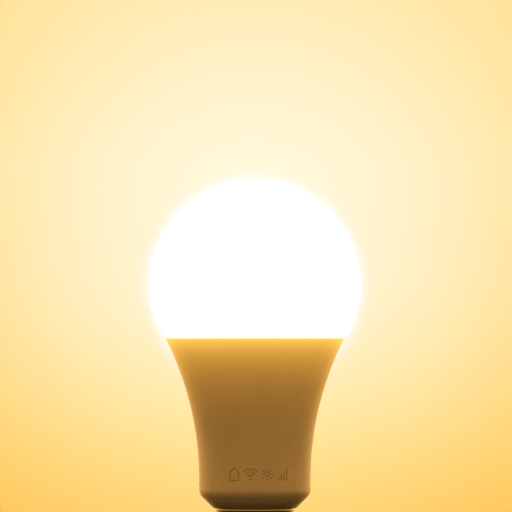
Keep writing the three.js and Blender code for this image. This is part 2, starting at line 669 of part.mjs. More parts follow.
function transformerCore() {
  const { halfWidth, halfHeight, halfDepth, leg, yoke, window } = CORE;
  const body = block([-halfWidth, halfWidth], [-halfDepth, halfDepth], [-halfHeight, halfHeight]);
  const windowZ = [-halfHeight + yoke, halfHeight - yoke];
  const windowY = [-halfDepth - 1, halfDepth + 1];
  const right = block([leg, leg + window], windowY, windowZ);
  const left = block([-leg - window, -leg], windowY, windowZ);
  return cut(body, right, left);
}

/** The wound bobbin round the core's middle leg, with a flange at each end. */
function transformerBobbin() {
  const { halfHeight, halfDepth, leg, yoke, window } = CORE;
  const reach = leg + window - SLIP_GAP;
  const flangeY = halfDepth + window - SLIP_GAP;
  const top = halfHeight - yoke - SLIP_GAP / 2;
  const winding = block([-reach + 0.3, reach - 0.3], [-flangeY + 0.6, flangeY - 0.6], [-top, top]);
  const flanges = [
    [-top, -top + 0.8],
    [top - 0.8, top],
  ].map((z) => block([-reach, reach], [-flangeY, flangeY], z));
  const bore = block(
    [-leg - SLIP_GAP / 2, leg + SLIP_GAP / 2],
    [-halfDepth - SLIP_GAP / 2, halfDepth + SLIP_GAP / 2],
    [-top - 1, top + 1],
  );
  return cut(joined(winding, ...flanges), bore);
}

/** A drum choke along Y: two flanges on a narrower winding. */
function drumChoke(radius, depth) {
  const flange = depth * 0.15;
  const drum = turned(
    [
      [0, 0],
      [radius, 0],
      [radius, flange],
      [radius * 0.88, flange],
      [radius * 0.88, depth - flange],
      [radius, depth - flange],
      [radius, depth],
      [0, depth],
    ],
    SMALL_ROUND,
  );
  return drum.rotateX(Math.PI / 2);
}

const CHIP_FOOT_REACH = 0.9;

/** A chip package flat on the board: a body with a row of feet joined to each side. */
function chipPackage(width, height, depth, feet) {
  const body = block([-width / 2, width / 2], [0.1, depth], [-height / 2, height / 2]);
  const pitch = width / feet;
  const rows = [-1, 1].flatMap((side) =>
    Array.from({ length: feet }, (_, i) => {
      const x = (i - (feet - 1) / 2) * pitch;
      const z = [side * (height / 2 - 0.3), side * (height / 2 + CHIP_FOOT_REACH)].sort((a, b) => a - b);
      return block([x - pitch / 5, x + pitch / 5], [0, 0.4], z);
    }),
  );
  return joined(body, ...rows);
}

/** The lower end of each part in a column on the driver board, with even gaps between the parts. */
function spread(heights, bottomZ, topZ) {
  const spare = topZ - bottomZ - heights.reduce((sum, height) => sum + height, 0);
  const gap = spare / (heights.length - 1);
  return heights.map((_, i) => bottomZ + heights.slice(0, i).reduce((z, height) => z + height + gap, 0));
}

/** A part's middle, when its side is at the edge of the room for parts. A deep one keeps off the sleeve. */
function atEdge(side, halfWidth, depth = 0) {
  const boreR = SLEEVE_BORE_R * Math.cos(Math.PI / HIDDEN_ROUND) - SLIP_GAP;
  const farY = BOARD_THICKNESS / 2 + SEAT_GAP + depth;
  return side * (Math.min(PART_EDGE_X, Math.sqrt(boreR ** 2 - farY ** 2)) - halfWidth);
}

/** A fusible resistor's body, with rounded ends. */
function fuseBody(radius, length) {
  const round = 0.5;
  return turned(
    [
      [0, 0],
      ...arc([radius - round, round], round, -90, 0, 2),
      ...arc([radius - round, length - round], round, 0, 90, 2),
      [0, length],
    ],
    SMALL_ROUND,
  );
}

/** The parts on the tongue, next to the leads: the fusible resistor and the varistor. */
function addTongueParts() {
  const face = BOARD_FRONT_Y - SEAT_GAP;
  const fuse = { radius: 1.4, length: 9 };
  const fuseZ = BOARD_BOTTOM_Z + LEAD_ON_BOARD + 3;
  const fuseAt = [-(TONGUE_HALF_WIDTH - fuse.radius - 0.2), face - fuse.radius, fuseZ];
  add("fusible_resistor", fuseBody(fuse.radius, fuse.length), RESISTOR_GREEN, fuseAt);

  const disc = { radius: 2.9, thickness: 3 };
  const discGeometry = new THREE.CylinderGeometry(disc.radius, disc.radius, disc.thickness, SMALL_ROUND);
  const discX = TONGUE_HALF_WIDTH - disc.radius - 0.2;
  add("varistor", discGeometry, VARISTOR_BLUE, [discX, face - disc.thickness / 2, fuseZ + disc.radius]);
}

/** The parts on the driver board's front face, which is the side with the tall ones. */
function addFrontParts() {
  const face = BOARD_FRONT_Y - SEAT_GAP;
  const bulk = { radius: 5, height: 16 };
  const supply = { radius: 2.5, height: 8 };
  const [bulkZ, supplyZ] = spread([bulk.height, supply.height], PART_FOOT_Z, FRONT_PARTS_TOP_Z);
  const bulkAt = [atEdge(-1, bulk.radius), face - bulk.radius, bulkZ];
  add("bulk_capacitor", capacitorCan(bulk.radius, bulk.height), CAN_SLEEVE, bulkAt);
  const supplyAt = [atEdge(-1, supply.radius), face - supply.radius, supplyZ];
  add("supply_capacitor", capacitorCan(supply.radius, supply.height), CAN_SLEEVE, supplyAt);

  const choke = { radius: 3.5, depth: 7.5 };
  const coreHeight = 2 * CORE.halfHeight;
  const [chokeZ, coreZ] = spread([2 * choke.radius, coreHeight], PART_FOOT_Z, FRONT_PARTS_TOP_Z);
  const chokeAt = [atEdge(1, choke.radius, choke.depth), face, chokeZ + choke.radius];
  add("line_choke", drumChoke(choke.radius, choke.depth), COPPER, chokeAt);
  const bobbinDepth = CORE.halfDepth + CORE.window - SLIP_GAP;
  const coreX = atEdge(1, CORE.halfWidth, bobbinDepth + CORE.halfDepth);
  const coreAt = [coreX, face - bobbinDepth, coreZ + CORE.halfHeight];
  add("transformer_core", transformerCore(), FERRITE, coreAt);
  add("transformer_bobbin", transformerBobbin(), COPPER, coreAt);
}

/** The parts on its back face, below the wireless module. */
function addBackParts() {
  const face = BOARD_BACK_Y + SEAT_GAP;
  const film = { halfWidth: 5, depth: 5, height: 7.5 };
  const chip = { halfWidth: 2.5, height: 4, depth: 1.6, feet: 4 };
  const output = { radius: 4, height: 9 };
  const chipSpan = chip.height + 2 * CHIP_FOOT_REACH;
  const left = spread([film.height, chipSpan, output.height], PART_FOOT_Z, BACK_PARTS_TOP_Z);
  const filmBody = block([-film.halfWidth, film.halfWidth], [0, film.depth], [0, film.height]);
  add("film_capacitor", filmBody, FILM_YELLOW, [atEdge(-1, film.halfWidth), face, left[0]]);
  const chipBody = chipPackage(2 * chip.halfWidth, chip.height, chip.depth, chip.feet);
  const chipX = atEdge(-1, film.halfWidth);
  add("driver_chip", chipBody, BLACK_PLASTIC, [chipX, face, left[1] + chipSpan / 2]);
  const outputAt = [atEdge(-1, output.radius), face + output.radius, left[2]];
  add("output_capacitor", capacitorCan(output.radius, output.height), CAN_SLEEVE, outputAt);

  const bridge = { halfWidth: 2.5, height: 4.2, depth: 2.5, feet: 2 };
  const small = { halfWidth: 1.5, height: 1.8, depth: 1.2, feet: 3 };
  const inductor = { halfWidth: 2.5, depth: 4 };
  const spans = [bridge.height, small.height].map((height) => height + 2 * CHIP_FOOT_REACH);
  spans.push(2 * inductor.halfWidth);
  const right = spread(spans, PART_FOOT_Z, BACK_PARTS_TOP_Z);
  const middleX = atEdge(1, bridge.halfWidth);
  const bridgeBody = chipPackage(2 * bridge.halfWidth, bridge.height, bridge.depth, bridge.feet);
  add("bridge_rectifier", bridgeBody, BLACK_PLASTIC, [middleX, face, right[0] + spans[0] / 2]);
  const smallBody = chipPackage(2 * small.halfWidth, small.height, small.depth, small.feet);
  add("supply_chip", smallBody, BLACK_PLASTIC, [middleX, face, right[1] + spans[1] / 2]);
  const side = [-inductor.halfWidth, inductor.halfWidth];
  const inductorAt = [middleX, face, right[2] + spans[2] / 2];
  add("supply_inductor", block(side, [0, inductor.depth], side), FERRITE, inductorAt);
}

// ---- Screw cap ----

/** How far the rolled thread moves the cap's wall outwards. It fades in and out over its end turns. */
function threadLift(angle, z) {
  const fadeLength = THREAD_PITCH / 2;
  const fade = THREE.MathUtils.smoothstep(z, THREAD_START_Z, THREAD_START_Z + fadeLength)
    * (1 - THREE.MathUtils.smoothstep(z, THREAD_END_Z - fadeLength, THREAD_END_Z));
  const turn = (2 * Math.PI * (z - THREAD_START_Z)) / THREAD_PITCH - angle;
  return THREAD_DEPTH * fade * (0.5 - 0.5 * Math.cos(turn));
}

/** The rolled sheet-metal cap: a turned-in mouth, the thread, a crimped collar and a flared rim. */
function capShell() {
  const rootR = THREAD_CREST_R - THREAD_DEPTH;
  const rows = Math.round((THREAD_LENGTH / THREAD_PITCH) * 4);
  const threadRows = Array.from({ length: rows + 1 }, (_, i) => [
    rootR,
    THREAD_START_Z + (THREAD_LENGTH * i) / rows,
  ]);
  const flareZ = RIM_Z - RIM_FLARE_HEIGHT;
  const line = [
    [CAP_MOUTH_R, CAP_MOUTH_Z],
    ...arc([rootR - MOUTH_CURVE, CAP_MOUTH_Z + CAP_WALL + MOUTH_CURVE], MOUTH_CURVE, -75, -15, 3),
    ...threadRows,
    [COLLAR_R, THREAD_END_Z + (COLLAR_R - rootR)],
    [COLLAR_R, CRIMP_Z],
    [COLLAR_R, flareZ],
    [COLLAR_R + (RIM_R - COLLAR_R) * 0.35, flareZ + RIM_FLARE_HEIGHT * 0.6],
    [RIM_R, RIM_Z],
  ];
  const shell = turnedRing(wallInside(line, CAP_WALL));
  const position = shell.getAttribute("position");
  for (let i = 0; i < position.count; i++) {
    const [x, y, z] = [position.getX(i), position.getY(i), position.getZ(i)];
    const angle = Math.atan2(y, x);
    const lift = threadLift(angle, z) - crimpDent(angle, z);
    const scale = 1 + lift / Math.hypot(x, y);
    position.setXYZ(i, x * scale, y * scale, z);
  }
  return shell;
}

/** How far a punched crimp pushes the collar in: one facet corner at each of the crimps' places. */
function crimpDent(angle, z) {
  const turns = (angle / (2 * Math.PI)) * CRIMP_COUNT;
  const atPlace = Math.abs(turns - Math.round(turns)) < 1e-3;
  return atPlace && Math.abs(z - CRIMP_Z) < CAP_WALL ? CRIMP_DEPTH : 0;
}

/** The insulator that closes the cap's mouth and carries the contact. */
function capInsulator() {
  const seatZ = CONTACT_HEIGHT + SEAT_GAP;
  const throatR = CAP_MOUTH_R - SLIP_GAP;
  const boreR = CONTACT_SHANK_R + SLIP_GAP / 2;
  const ledgeZ = CAP_MOUTH_Z + CAP_WALL + 2 * SLIP_GAP;
  return turnedRing(
    [
      [boreR, seatZ],
      [CONTACT_R + INSULATOR_LEDGE, seatZ],
      [throatR - INSULATOR_LEDGE, CAP_MOUTH_Z - INSULATOR_LEDGE],
      [throatR, CAP_MOUTH_Z],
      [throatR, ledgeZ],
      [throatR + INSULATOR_LEDGE, ledgeZ + INSULATOR_LEDGE / 2],
      [throatR + INSULATOR_LEDGE, INSULATOR_TOP_Z],
      [boreR, INSULATOR_TOP_Z],
    ],
    HIDDEN_ROUND,
  );
}

/** The contact: a button with a flat end face, riveted through the insulator. */
function centreContact() {
  const edge = CONTACT_R - CONTACT_FLAT_R;
  return turned(
    [
      [0, 0],
      [CONTACT_FLAT_R, 0],
      [CONTACT_R - edge * 0.3, CONTACT_HEIGHT * 0.35],
      [CONTACT_R, CONTACT_HEIGHT * 0.75],
      [CONTACT_R, CONTACT_HEIGHT],
      [CONTACT_SHANK_R, CONTACT_HEIGHT],
      [CONTACT_SHANK_R, CONTACT_SHANK_TOP_Z],
      [0, CONTACT_SHANK_TOP_Z],
    ],
    HIDDEN_ROUND,
  );
}

/** The lead from the contact's shank up to the driver board's front face. */
function liveLead() {
  const radius = 0.55;
  const y = BOARD_FRONT_Y - SLIP_GAP - radius;
  const startZ = CONTACT_SHANK_TOP_Z + SEAT_GAP;
  return wire(
    [
      [0, 0, startZ],
      [0, 0, startZ + 1.2],
      [-1.6, y * 0.6, startZ + 2.9],
      [-3, y, BOARD_BOTTOM_Z + 1.2],
      [-3, y, BOARD_BOTTOM_Z + LEAD_ON_BOARD],
    ],
    radius,
    12,
  );
}

/** The lead that turns up outside the stub, in its notch, and lies against the cap's wall. */
function neutralLead() {
  const radius = 0.4;
  const y = BOARD_FRONT_Y - SLIP_GAP - radius;
  const notchMidR = STUB_R - LEAD_NOTCH_DEPTH / 2;
  const underStubZ = STUB_BOTTOM_Z - SLIP_GAP - radius;
  return wire(
    [
      [4, y, BOARD_BOTTOM_Z + LEAD_ON_BOARD],
      [4, y, BOARD_BOTTOM_Z + 1],
      [5.4, y * 0.8, underStubZ + 0.4],
      [STUB_BORE_R - 1.2, y * 0.3, underStubZ - 0.5],
      [notchMidR - 0.9, 0, underStubZ - 0.45],
      [notchMidR - 0.1, 0, underStubZ + 0.3],
      [notchMidR, 0, STUB_BOTTOM_Z + 2],
      [notchMidR, 0, STUB_BOTTOM_Z + 7],
    ],
    radius,
    22,
  );
}

// ---- Assembly ----

add("diffuser_dome", diffuserDome(), OPAL);
add("sealant_ring", sealantRing(), SILICONE);
add("housing_shell", housingShell(), HOUSING_WHITE);
add("heat_sink_cup", heatSinkCup(), ALUMINIUM);
add("thermal_pad", thermalPad(), PAD_GREY);
add("lamp_board", lampBoard(), BOARD_WHITE);
addLeds();
addScrews();
add("driver_pin_strip", pinStrip(), BRASS);
add("lamp_board_socket", pinSocket(), WHITE_PLASTIC);
addModule();
add("driver_sleeve", driverSleeve(), SLEEVE_PLASTIC);
add("driver_board", driverBoard(), BOARD_GREEN);
addTongueParts();
addFrontParts();
addBackParts();
add("cap_shell", capShell(), NICKEL);
add("cap_insulator", capInsulator(), BLACK_INSULATOR);
add("centre_contact", centreContact(), BRASS);
add("live_lead", liveLead(), WIRE_RED);
add("neutral_lead", neutralLead(), WIRE_BLACK);

export default bulb;
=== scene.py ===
"""Looks for the smart light bulb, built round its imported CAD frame.

A lit opal globe sits on a flared plastic housing with a screw cap, and holds its lamp board, wireless module
and driver. Lengths are millimetres until a piece is finished, when its mesh is scaled to metres. +Z runs up
the bulb's axis from the centre contact, and -Y is the marked front.
"""

import json
import logging
import math
from dataclasses import dataclass
from enum import Enum
from functools import cache
from typing import Callable, Iterable, Mapping, Sequence, Union

import bmesh
import bpy
from mathutils import Matrix, Vector

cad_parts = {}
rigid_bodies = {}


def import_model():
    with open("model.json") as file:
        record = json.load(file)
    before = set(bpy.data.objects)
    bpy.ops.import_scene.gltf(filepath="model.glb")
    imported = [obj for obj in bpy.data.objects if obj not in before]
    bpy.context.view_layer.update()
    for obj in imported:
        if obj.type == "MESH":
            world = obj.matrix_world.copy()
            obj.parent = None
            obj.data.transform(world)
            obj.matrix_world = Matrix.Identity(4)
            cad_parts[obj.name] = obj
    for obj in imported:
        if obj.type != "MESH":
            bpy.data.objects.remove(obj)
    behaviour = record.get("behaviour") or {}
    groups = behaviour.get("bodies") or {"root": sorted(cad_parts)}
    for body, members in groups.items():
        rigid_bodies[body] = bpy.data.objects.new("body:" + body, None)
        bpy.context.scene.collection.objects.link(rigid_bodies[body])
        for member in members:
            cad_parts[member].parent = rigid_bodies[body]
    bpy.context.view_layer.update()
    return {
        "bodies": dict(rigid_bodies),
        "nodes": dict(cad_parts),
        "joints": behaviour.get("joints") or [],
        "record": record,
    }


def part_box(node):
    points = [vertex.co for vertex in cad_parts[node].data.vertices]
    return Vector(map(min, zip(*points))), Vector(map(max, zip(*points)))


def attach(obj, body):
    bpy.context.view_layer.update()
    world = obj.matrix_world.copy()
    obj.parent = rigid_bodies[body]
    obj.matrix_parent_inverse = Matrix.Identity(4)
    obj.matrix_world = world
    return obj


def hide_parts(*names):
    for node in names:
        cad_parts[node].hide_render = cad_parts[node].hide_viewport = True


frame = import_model()

LOG = logging.getLogger("smart_light_bulb")

MM = 0.001
BODY = "root"
SEAT_GAP = 0.05  # what the CAD keeps between faces that rest on each other
SHARP_DEG = 48.0  # edges that turn more than this stay crisp
WELD = 1e-4  # vertices nearer than this are one

Point = tuple[float, float]
Place = Sequence[float]
Colour = tuple[float, float, float]


def tone(code: str) -> Colour:
    """Turns a six-digit display colour into the linear colour that shaders take.

    Args:
        code: red, green and blue as hexadecimal digits.

    Returns:
        The linear colour.
    """
    shares = [int(code[i : i + 2], 16) / 255 for i in (0, 2, 4)]
    red, green, blue = (s / 12.92 if s <= 0.04045 else ((s + 0.055) / 1.055) ** 2.4 for s in shares)
    return (red, green, blue)


def darker(colour: Colour, share: float) -> Colour:
    """Returns the colour with that share of its light taken away, or added if the share is negative."""
    return tuple(min(1.0, c * (1 - share)) for c in colour)


# ---- Places and outlines ----


@dataclass(frozen=True)
class Box:
    """The box of a CAD node at rest, in millimetres."""

    low: Vector
    high: Vector

    @classmethod
    def of(cls, node: str) -> "Box":
        """Reads a node's box from the frame."""
        low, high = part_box(node)
        return cls(low / MM, high / MM)

    @property
    def centre(self) -> Vector:
        """The middle of the box."""
        return (self.low + self.high) / 2

    @property
    def size(self) -> Vector:
        """The box's three sides."""
        return self.high - self.low


def arc(centre: Point, radius: float, from_deg: float, to_deg: float, steps: int) -> list[Point]:
    """Places points on an arc of an outline.

    Args:
        centre: the arc's centre, as (radius, height).
        radius: the arc's own radius.
        from_deg: the first angle, up from the outward direction.
        to_deg: the last angle.
        steps: how many straight steps the arc has.

    Returns:
        The points, both ends among them.
    """
    angles = (math.radians(from_deg + (to_deg - from_deg) * i / steps) for i in range(steps + 1))
    return [(centre[0] + radius * math.cos(a), centre[1] + radius * math.sin(a)) for a in angles]


def eased(outline: Sequence[Point], radius: float, steps: int = 3, ring: bool = False) -> list[Point]:
    """Rounds the corners of an outline.

    Args:
        outline: (radius, height) points.
        radius: how far from each corner the rounding starts, where the sides are long enough.
        steps: how many straight steps replace a corner.
        ring: True if the outline's last point joins its first.

    Returns:
        The outline with its corners rounded.
    """
    corners = [Vector(p) for p in outline]
    count = len(corners)
    made: list[Point] = []
    for i, corner in enumerate(corners):
        if not ring and i in (0, count - 1):
            made.append(tuple(corner))
            continue
        before, after = corners[i - 1] - corner, corners[(i + 1) % count] - corner
        reach = min(radius, before.length * 0.45, after.length * 0.45)
        start, end = corner + before.normalized() * reach, corner + after.normalized() * reach
        for k in range(steps + 1):
            t = k / steps
            made.append(tuple(start * (1 - t) ** 2 + corner * 2 * t * (1 - t) + end * t**2))
    return made


def spread(count: int, pitch: float, middle: float = 0.0) -> list[float]:
    """Places a row of points at a pitch, on both sides of its middle."""
    return [middle + (i - (count - 1) / 2) * pitch for i in range(count)]


def on_ring(radius: float, degrees: float) -> Point:
    """Returns the (x, y) place at an angle on a ring about the axis."""
    angle = math.radians(degrees)
    return (radius * math.cos(angle), radius * math.sin(angle))


# ---- Shader maths ----

Value = Union["Signal", float, Sequence[float]]


class Signal:
    """A shader socket that takes part in Python arithmetic, which adds the Math nodes."""

    def __init__(self, graph: "Graph", socket: bpy.types.NodeSocket) -> None:
        """Wraps an output socket of a graph's node."""
        self.graph = graph
        self.socket = socket

    def __add__(self, other: Value) -> "Signal":
        """Adds two values."""
        return self.graph.maths("ADD", self, other)

    def __sub__(self, other: Value) -> "Signal":
        """Takes a value from this one."""
        return self.graph.maths("SUBTRACT", self, other)

    def __rsub__(self, other: Value) -> "Signal":
        """Takes this value from another."""
        return self.graph.maths("SUBTRACT", other, self)

    def __mul__(self, other: Value) -> "Signal":
        """Multiplies two values."""
        return self.graph.maths("MULTIPLY", self, other)

    def __pow__(self, other: Value) -> "Signal":
        """Raises this value to a power."""
        return self.graph.maths("POWER", self, other)

    __radd__ = __add__
    __rmul__ = __mul__

    def rises(self, start: float, end: float) -> "Signal":
        """Returns a mask that goes smoothly from 0 at start to 1 at end."""
        settings = {"interpolation_type": "SMOOTHSTEP"}
        return self.graph.add("ShaderNodeMapRange", settings, {0: self, "From Min": start, "From Max": end})

    def wave(self) -> "Signal":
        """Returns the value's sine."""
        return self.graph.maths("SINE", self)

    def size(self) -> "Signal":
        """Returns the value without its sign."""
        return self.graph.maths("ABSOLUTE", self)


class Graph:
    """A material's or a world's node tree, with one method that makes every node."""

    def __init__(self, tree: bpy.types.NodeTree) -> None:
        """Empties the tree."""
        self.tree = tree
        tree.nodes.clear()

    def add(
        self,
        kind: str,
        settings: Mapping[str, object] | None = None,
        sockets: Mapping[str | int, Value] | None = None,
        output: str | int = 0,
    ) -> Signal | None:
        """Makes a node.

        Args:
            kind: the node's type.
            settings: its properties, set first; "stops" fills a colour ramp with (place, colour) pairs.
            sockets: the value or link of each input, by name or by place among the inputs in use.
            output: the output to return, in the same way.

        Returns:
            The output, or None if the node has none.
        """
        node = self.tree.nodes.new(kind)
        for name, value in (settings or {}).items():
            if name == "stops":
                self.fill_ramp(node.color_ramp, value)
            else:
                setattr(node, name, value)
        for key, value in (sockets or {}).items():
            socket = self.find(node.inputs, key)
            if isinstance(value, Signal):
                self.tree.links.new(value.socket, socket)
            elif socket.type == "RGBA" and len(value) == 3:
                socket.default_value = (*value, 1.0)
            else:
                socket.default_value = value
        return Signal(self, self.find(node.outputs, output)) if node.outputs else None

    @staticmethod
    def find(sockets: Iterable[bpy.types.NodeSocket], key: str | int) -> bpy.types.NodeSocket:
        """Returns the socket in use with that name or place."""
        used = [s for s in sockets if s.enabled]
        return used[key] if isinstance(key, int) else next(s for s in used if s.name == key)

    @staticmethod
    def fill_ramp(ramp: bpy.types.ColorRamp, stops: Sequence[tuple[float, Colour]]) -> None:
        """Sets a colour ramp's stops, of which there are at least two."""
        while len(ramp.elements) < len(stops):
            ramp.elements.new(1.0)
        for element, (place, colour) in zip(ramp.elements, stops):
            element.position = place
            element.color = (*colour, 1.0)

    def maths(self, operation: str, *values: Value) -> Signal:
        """Returns a Math node's result."""
        return self.add("ShaderNodeMath", {"operation": operation}, dict(enumerate(values)))

    def vectors(self, operation: str, sockets: Mapping[str | int, Value], output: str | int = 0) -> Signal:
        """Returns a Vector Math node's result."""
        return self.add("ShaderNodeVectorMath", {"operation": operation}, sockets, output)

    def place(self) -> Signal:
        """Returns the object coordinates in millimetres."""
        metres = self.add("ShaderNodeTexCoord", output="Object")
        return self.vectors("SCALE", {"Vector": metres, "Scale": 1 / MM})

    def stretched(self, place: Signal, by: Place) -> Signal:
        """Returns the place with each axis multiplied, which stretches a pattern along the small ones."""
        return self.vectors("MULTIPLY", {0: place, 1: by})

    def axis(self, place: Signal, name: str) -> Signal:
        """Returns one coordinate, X, Y or Z."""
        return self.add("ShaderNodeSeparateXYZ", sockets={0: place}, output=name)

    def from_axis(self, place: Signal) -> Signal:
        """Returns the distance from the bulb's axis."""
        flat = self.stretched(place, (1, 1, 0))
        return self.vectors("LENGTH", {0: flat}, "Value")

    def noise(self, place: Signal, size: float, detail: float = 2.0, roughness: float = 0.5) -> Signal:
        """Returns a cloudy pattern of 0 to 1 whose largest features have that size in millimetres."""
        sockets = {"Vector": place, "Scale": 1 / size, "Detail": detail, "Roughness": roughness}
        return self.add("ShaderNodeTexNoise", sockets=sockets)

    def cells(self, place: Signal, size: float) -> Signal:
        """Returns the distance from the middle of the nearest of many cells of that size."""
        return self.add("ShaderNodeTexVoronoi", sockets={"Vector": place, "Scale": 1 / size})

    def blend(self, mask: Value, first: Value, second: Value) -> Signal:
        """Returns the first colour where the mask is 0 and the second where it is 1."""
        sockets = {"Factor": mask, "A": first, "B": second}
        return self.add("ShaderNodeMix", {"data_type": "RGBA"}, sockets)

    def bump(self, height: Signal, depth: float) -> Signal:
        """Returns a normal for a height of 0 to 1 that stands for that depth in millimetres."""
        sockets = {"Height": height, "Distance": depth * MM, "Strength": 1.0}
        return self.add("ShaderNodeBump", sockets=sockets)


# ---- Finishes ----


@dataclass(frozen=True)
class Finish:
    """A material of one kind of surface. Each kind says what its Principled shader's sockets hold."""

    name: str

    def shade(self, graph: Graph) -> dict[str, Value]:
        """Returns the shader's sockets. Every kind of finish has its own."""
        raise NotImplementedError

    @cache
    def material(self) -> bpy.types.Material:
        """Makes the material, once for all the pieces that wear it."""
        made = bpy.data.materials.new(self.name)
        made.use_nodes = True
        graph = Graph(made.node_tree)
        surface = graph.add("ShaderNodeBsdfPrincipled", sockets=self.shade(graph))
        graph.add("ShaderNodeOutputMaterial", sockets={"Surface": surface})
        return made


@dataclass(frozen=True)
class Moulded(Finish):
    """Moulded plastic or rubber: a spark-eroded grain, faint flow clouds and a change of gloss."""

    colour: Colour
    gloss: float = 0.6
    grain: float = 0.35
    depth: float = 0.006
    clouds: float = 0.06
    cloud_size: float = 12.0

    def shade(self, graph: Graph) -> dict[str, Value]:
        """Returns the shader's sockets."""
        place = graph.place()
        cloud = graph.noise(place, self.cloud_size, 4.0, 0.6)
        grain = graph.noise(place, self.grain, 3.0, 0.6)
        light, dark = darker(self.colour, -self.clouds / 2), darker(self.colour, self.clouds)
        rough = 1 - self.gloss
        return {
            "Base Color": graph.blend(cloud.rises(0.3, 0.7), dark, light),
            "Roughness": rough + (cloud - 0.5) * 0.10 + (grain - 0.5) * 0.08,
            "Normal": graph.bump(grain, self.depth),
        }


@dataclass(frozen=True)
class PaintedLightHousing(Moulded):
    """The housing's satin plastic: a painted glow of the globe's light below the joint, painted shade on the
    foot.
    """

    joint_height: float = 0.0
    foot_height: float = 0.0
    near_reach: float = 2.9
    far_reach: float = 10.6
    painted_near_glow: Colour = (0.06, 0.20, 0.05)
    painted_far_glow: Colour = (0.90, 0.415, 0.045)
    foot_painted_shade: float = 0.6
    painted_shade_reach: float = 4.6

    def shade(self, graph: Graph) -> dict[str, Value]:
        """Returns the shader's sockets."""
        height = graph.axis(graph.place(), "Z")
        # Painted glow: emission that fades down from the joint stands in for the globe's light on the
        # plastic.
        below = self.joint_height - height
        near = graph.maths("POWER", math.e, below * (-1 / self.near_reach))
        far = graph.maths("POWER", math.e, below * (-1 / self.far_reach))
        lit = graph.vectors("SCALE", {"Vector": self.painted_near_glow, "Scale": near})
        deep_painted_glow = graph.vectors("SCALE", {"Vector": self.painted_far_glow, "Scale": far})
        plastic = super().shade(graph)
        # Painted shade: the base colour is darkened towards the foot of the housing.
        painted_shade_mask = (1 - height.rises(self.foot_height, self.foot_height + self.painted_shade_reach)) * self.foot_painted_shade
        return {
            **plastic,
            "Base Color": graph.blend(painted_shade_mask, plastic["Base Color"], (0.0, 0.0, 0.0)),
            "Sheen Weight": 0.3,
            "Sheen Roughness": 0.3,
            "Emission Color": graph.vectors("ADD", {0: lit, 1: deep_painted_glow}),
            "Emission Strength": 1.0,
        }


@dataclass(frozen=True)
class LitOpal(Finish):
    """The globe's opal plastic, lit from inside, a little warmer at its foot, with an orange-peel skin."""

    foot_height: float
    top_height: float
    foot_light: Colour
    light: Colour
    strength: float

    def shade(self, graph: Graph) -> dict[str, Value]:
        """Returns the shader's sockets."""
        place = graph.place()
        rise = graph.axis(place, "Z").rises(self.foot_height, self.top_height)
        peel = graph.noise(place, 1.8, 2.0, 0.4)
        cloud = graph.noise(place, 16.0, 3.0)
        lit = graph.blend(rise, self.foot_light, self.light)
        dimmed = graph.blend((cloud - 0.5).size() * 0.12, lit, (0.0, 0.0, 0.0))
        return {
            "Base Color": graph.blend(cloud, tone("FBF6EA"), tone("F4ECDA")),
            "Roughness": 0.38 + peel * 0.08,
            "Emission Color": dimmed,
            "Emission Strength": self.strength,
            "Normal": graph.bump(peel, 0.02),
        }


@dataclass(frozen=True)
class Plated(Finish):
    """Bare or plated metal: lines from the tool that made it, cloudy tarnish and fine pits."""

    colour: Colour
    tarnish: Colour
    roughness: float = 0.25
    lines: Place = (0.15, 0.15, 5.0)
    depth: float = 0.004
    tarnished: float = 0.5

    def worn(self, graph: Graph, place: Signal) -> Signal:
        """Returns where the tarnish lies, from 0 to 1."""
        return graph.noise(place, 4.0, 5.0, 0.65).rises(1 - self.tarnished, 1.2 - self.tarnished * 0.5)

    def shade(self, graph: Graph) -> dict[str, Value]:
        """Returns the shader's sockets."""
        place = graph.place()
        drawn = graph.noise(graph.stretched(place, self.lines), 0.6, 4.0, 0.6)
        old = self.worn(graph, place)
        return {
            "Base Color": graph.blend(old, self.colour, self.tarnish),
            "Metallic": 1.0,
            "Roughness": self.roughness + drawn * 0.12 + old * 0.18,
            "Normal": graph.bump(drawn, self.depth),
        }


@dataclass(frozen=True)
class RolledThread(Plated):
    """The cap's nickel: its crests polished by lamp holders and its roots dulled."""

    root_radius: float = 12.0
    crest_radius: float = 13.0

    def worn(self, graph: Graph, place: Signal) -> Signal:
        """Returns where the tarnish lies: mostly between the crests."""
        rise = graph.from_axis(place).rises(self.root_radius, self.crest_radius)
        return super().worn(graph, place) * 0.5 + (1 - rise) * 0.45


@dataclass(frozen=True)
class Glazed(Finish):
    """Pressed glass or a dipped coat: glossy, with slow waves in its skin and a few specks."""

    colour: Colour
    speck: Colour
    roughness: float = 0.1
    wave_size: float = 2.5
    depth: float = 0.05

    def shade(self, graph: Graph) -> dict[str, Value]:
        """Returns the shader's sockets."""
        place = graph.place()
        waves = graph.noise(place, self.wave_size, 2.0, 0.4)
        specks = 1 - graph.cells(place, 1.1).rises(0.05, 0.18)
        return {
            "Base Color": graph.blend(specks * 0.5, self.colour, self.speck),
            "Roughness": self.roughness + waves * 0.1 + specks * 0.2,
            "Coat Weight": 0.3,
            "Coat Roughness": 0.08,
            "Normal": graph.bump(waves, self.depth),
        }


@dataclass(frozen=True)
class Circuit(Finish):
    """A board's solder mask: glossy, darker over its weave, with a faint cloud in the ink."""

    colour: Colour
    weave: float = 0.5
    gloss: float = 0.6

    def shade(self, graph: Graph) -> dict[str, Value]:
        """Returns the shader's sockets."""
        place = graph.place()
        cloud = graph.noise(place, 7.0, 3.0, 0.6)
        across = graph.axis(place, "X") * (math.tau / self.weave)
        along = (graph.axis(place, "Y") + graph.axis(place, "Z")) * (math.tau / self.weave)
        weave = across.wave() * along.wave() * 0.5 + 0.5
        mask = weave * 0.35 + cloud.rises(0.3, 0.7) * 0.4
        return {
            "Base Color": graph.blend(mask, self.colour, darker(self.colour, 0.16)),
            "Roughness": 1 - self.gloss + cloud * 0.12,
            "Coat Weight": 0.25,
            "Coat Roughness": 0.12,
            "Normal": graph.bump(weave, 0.004),
        }


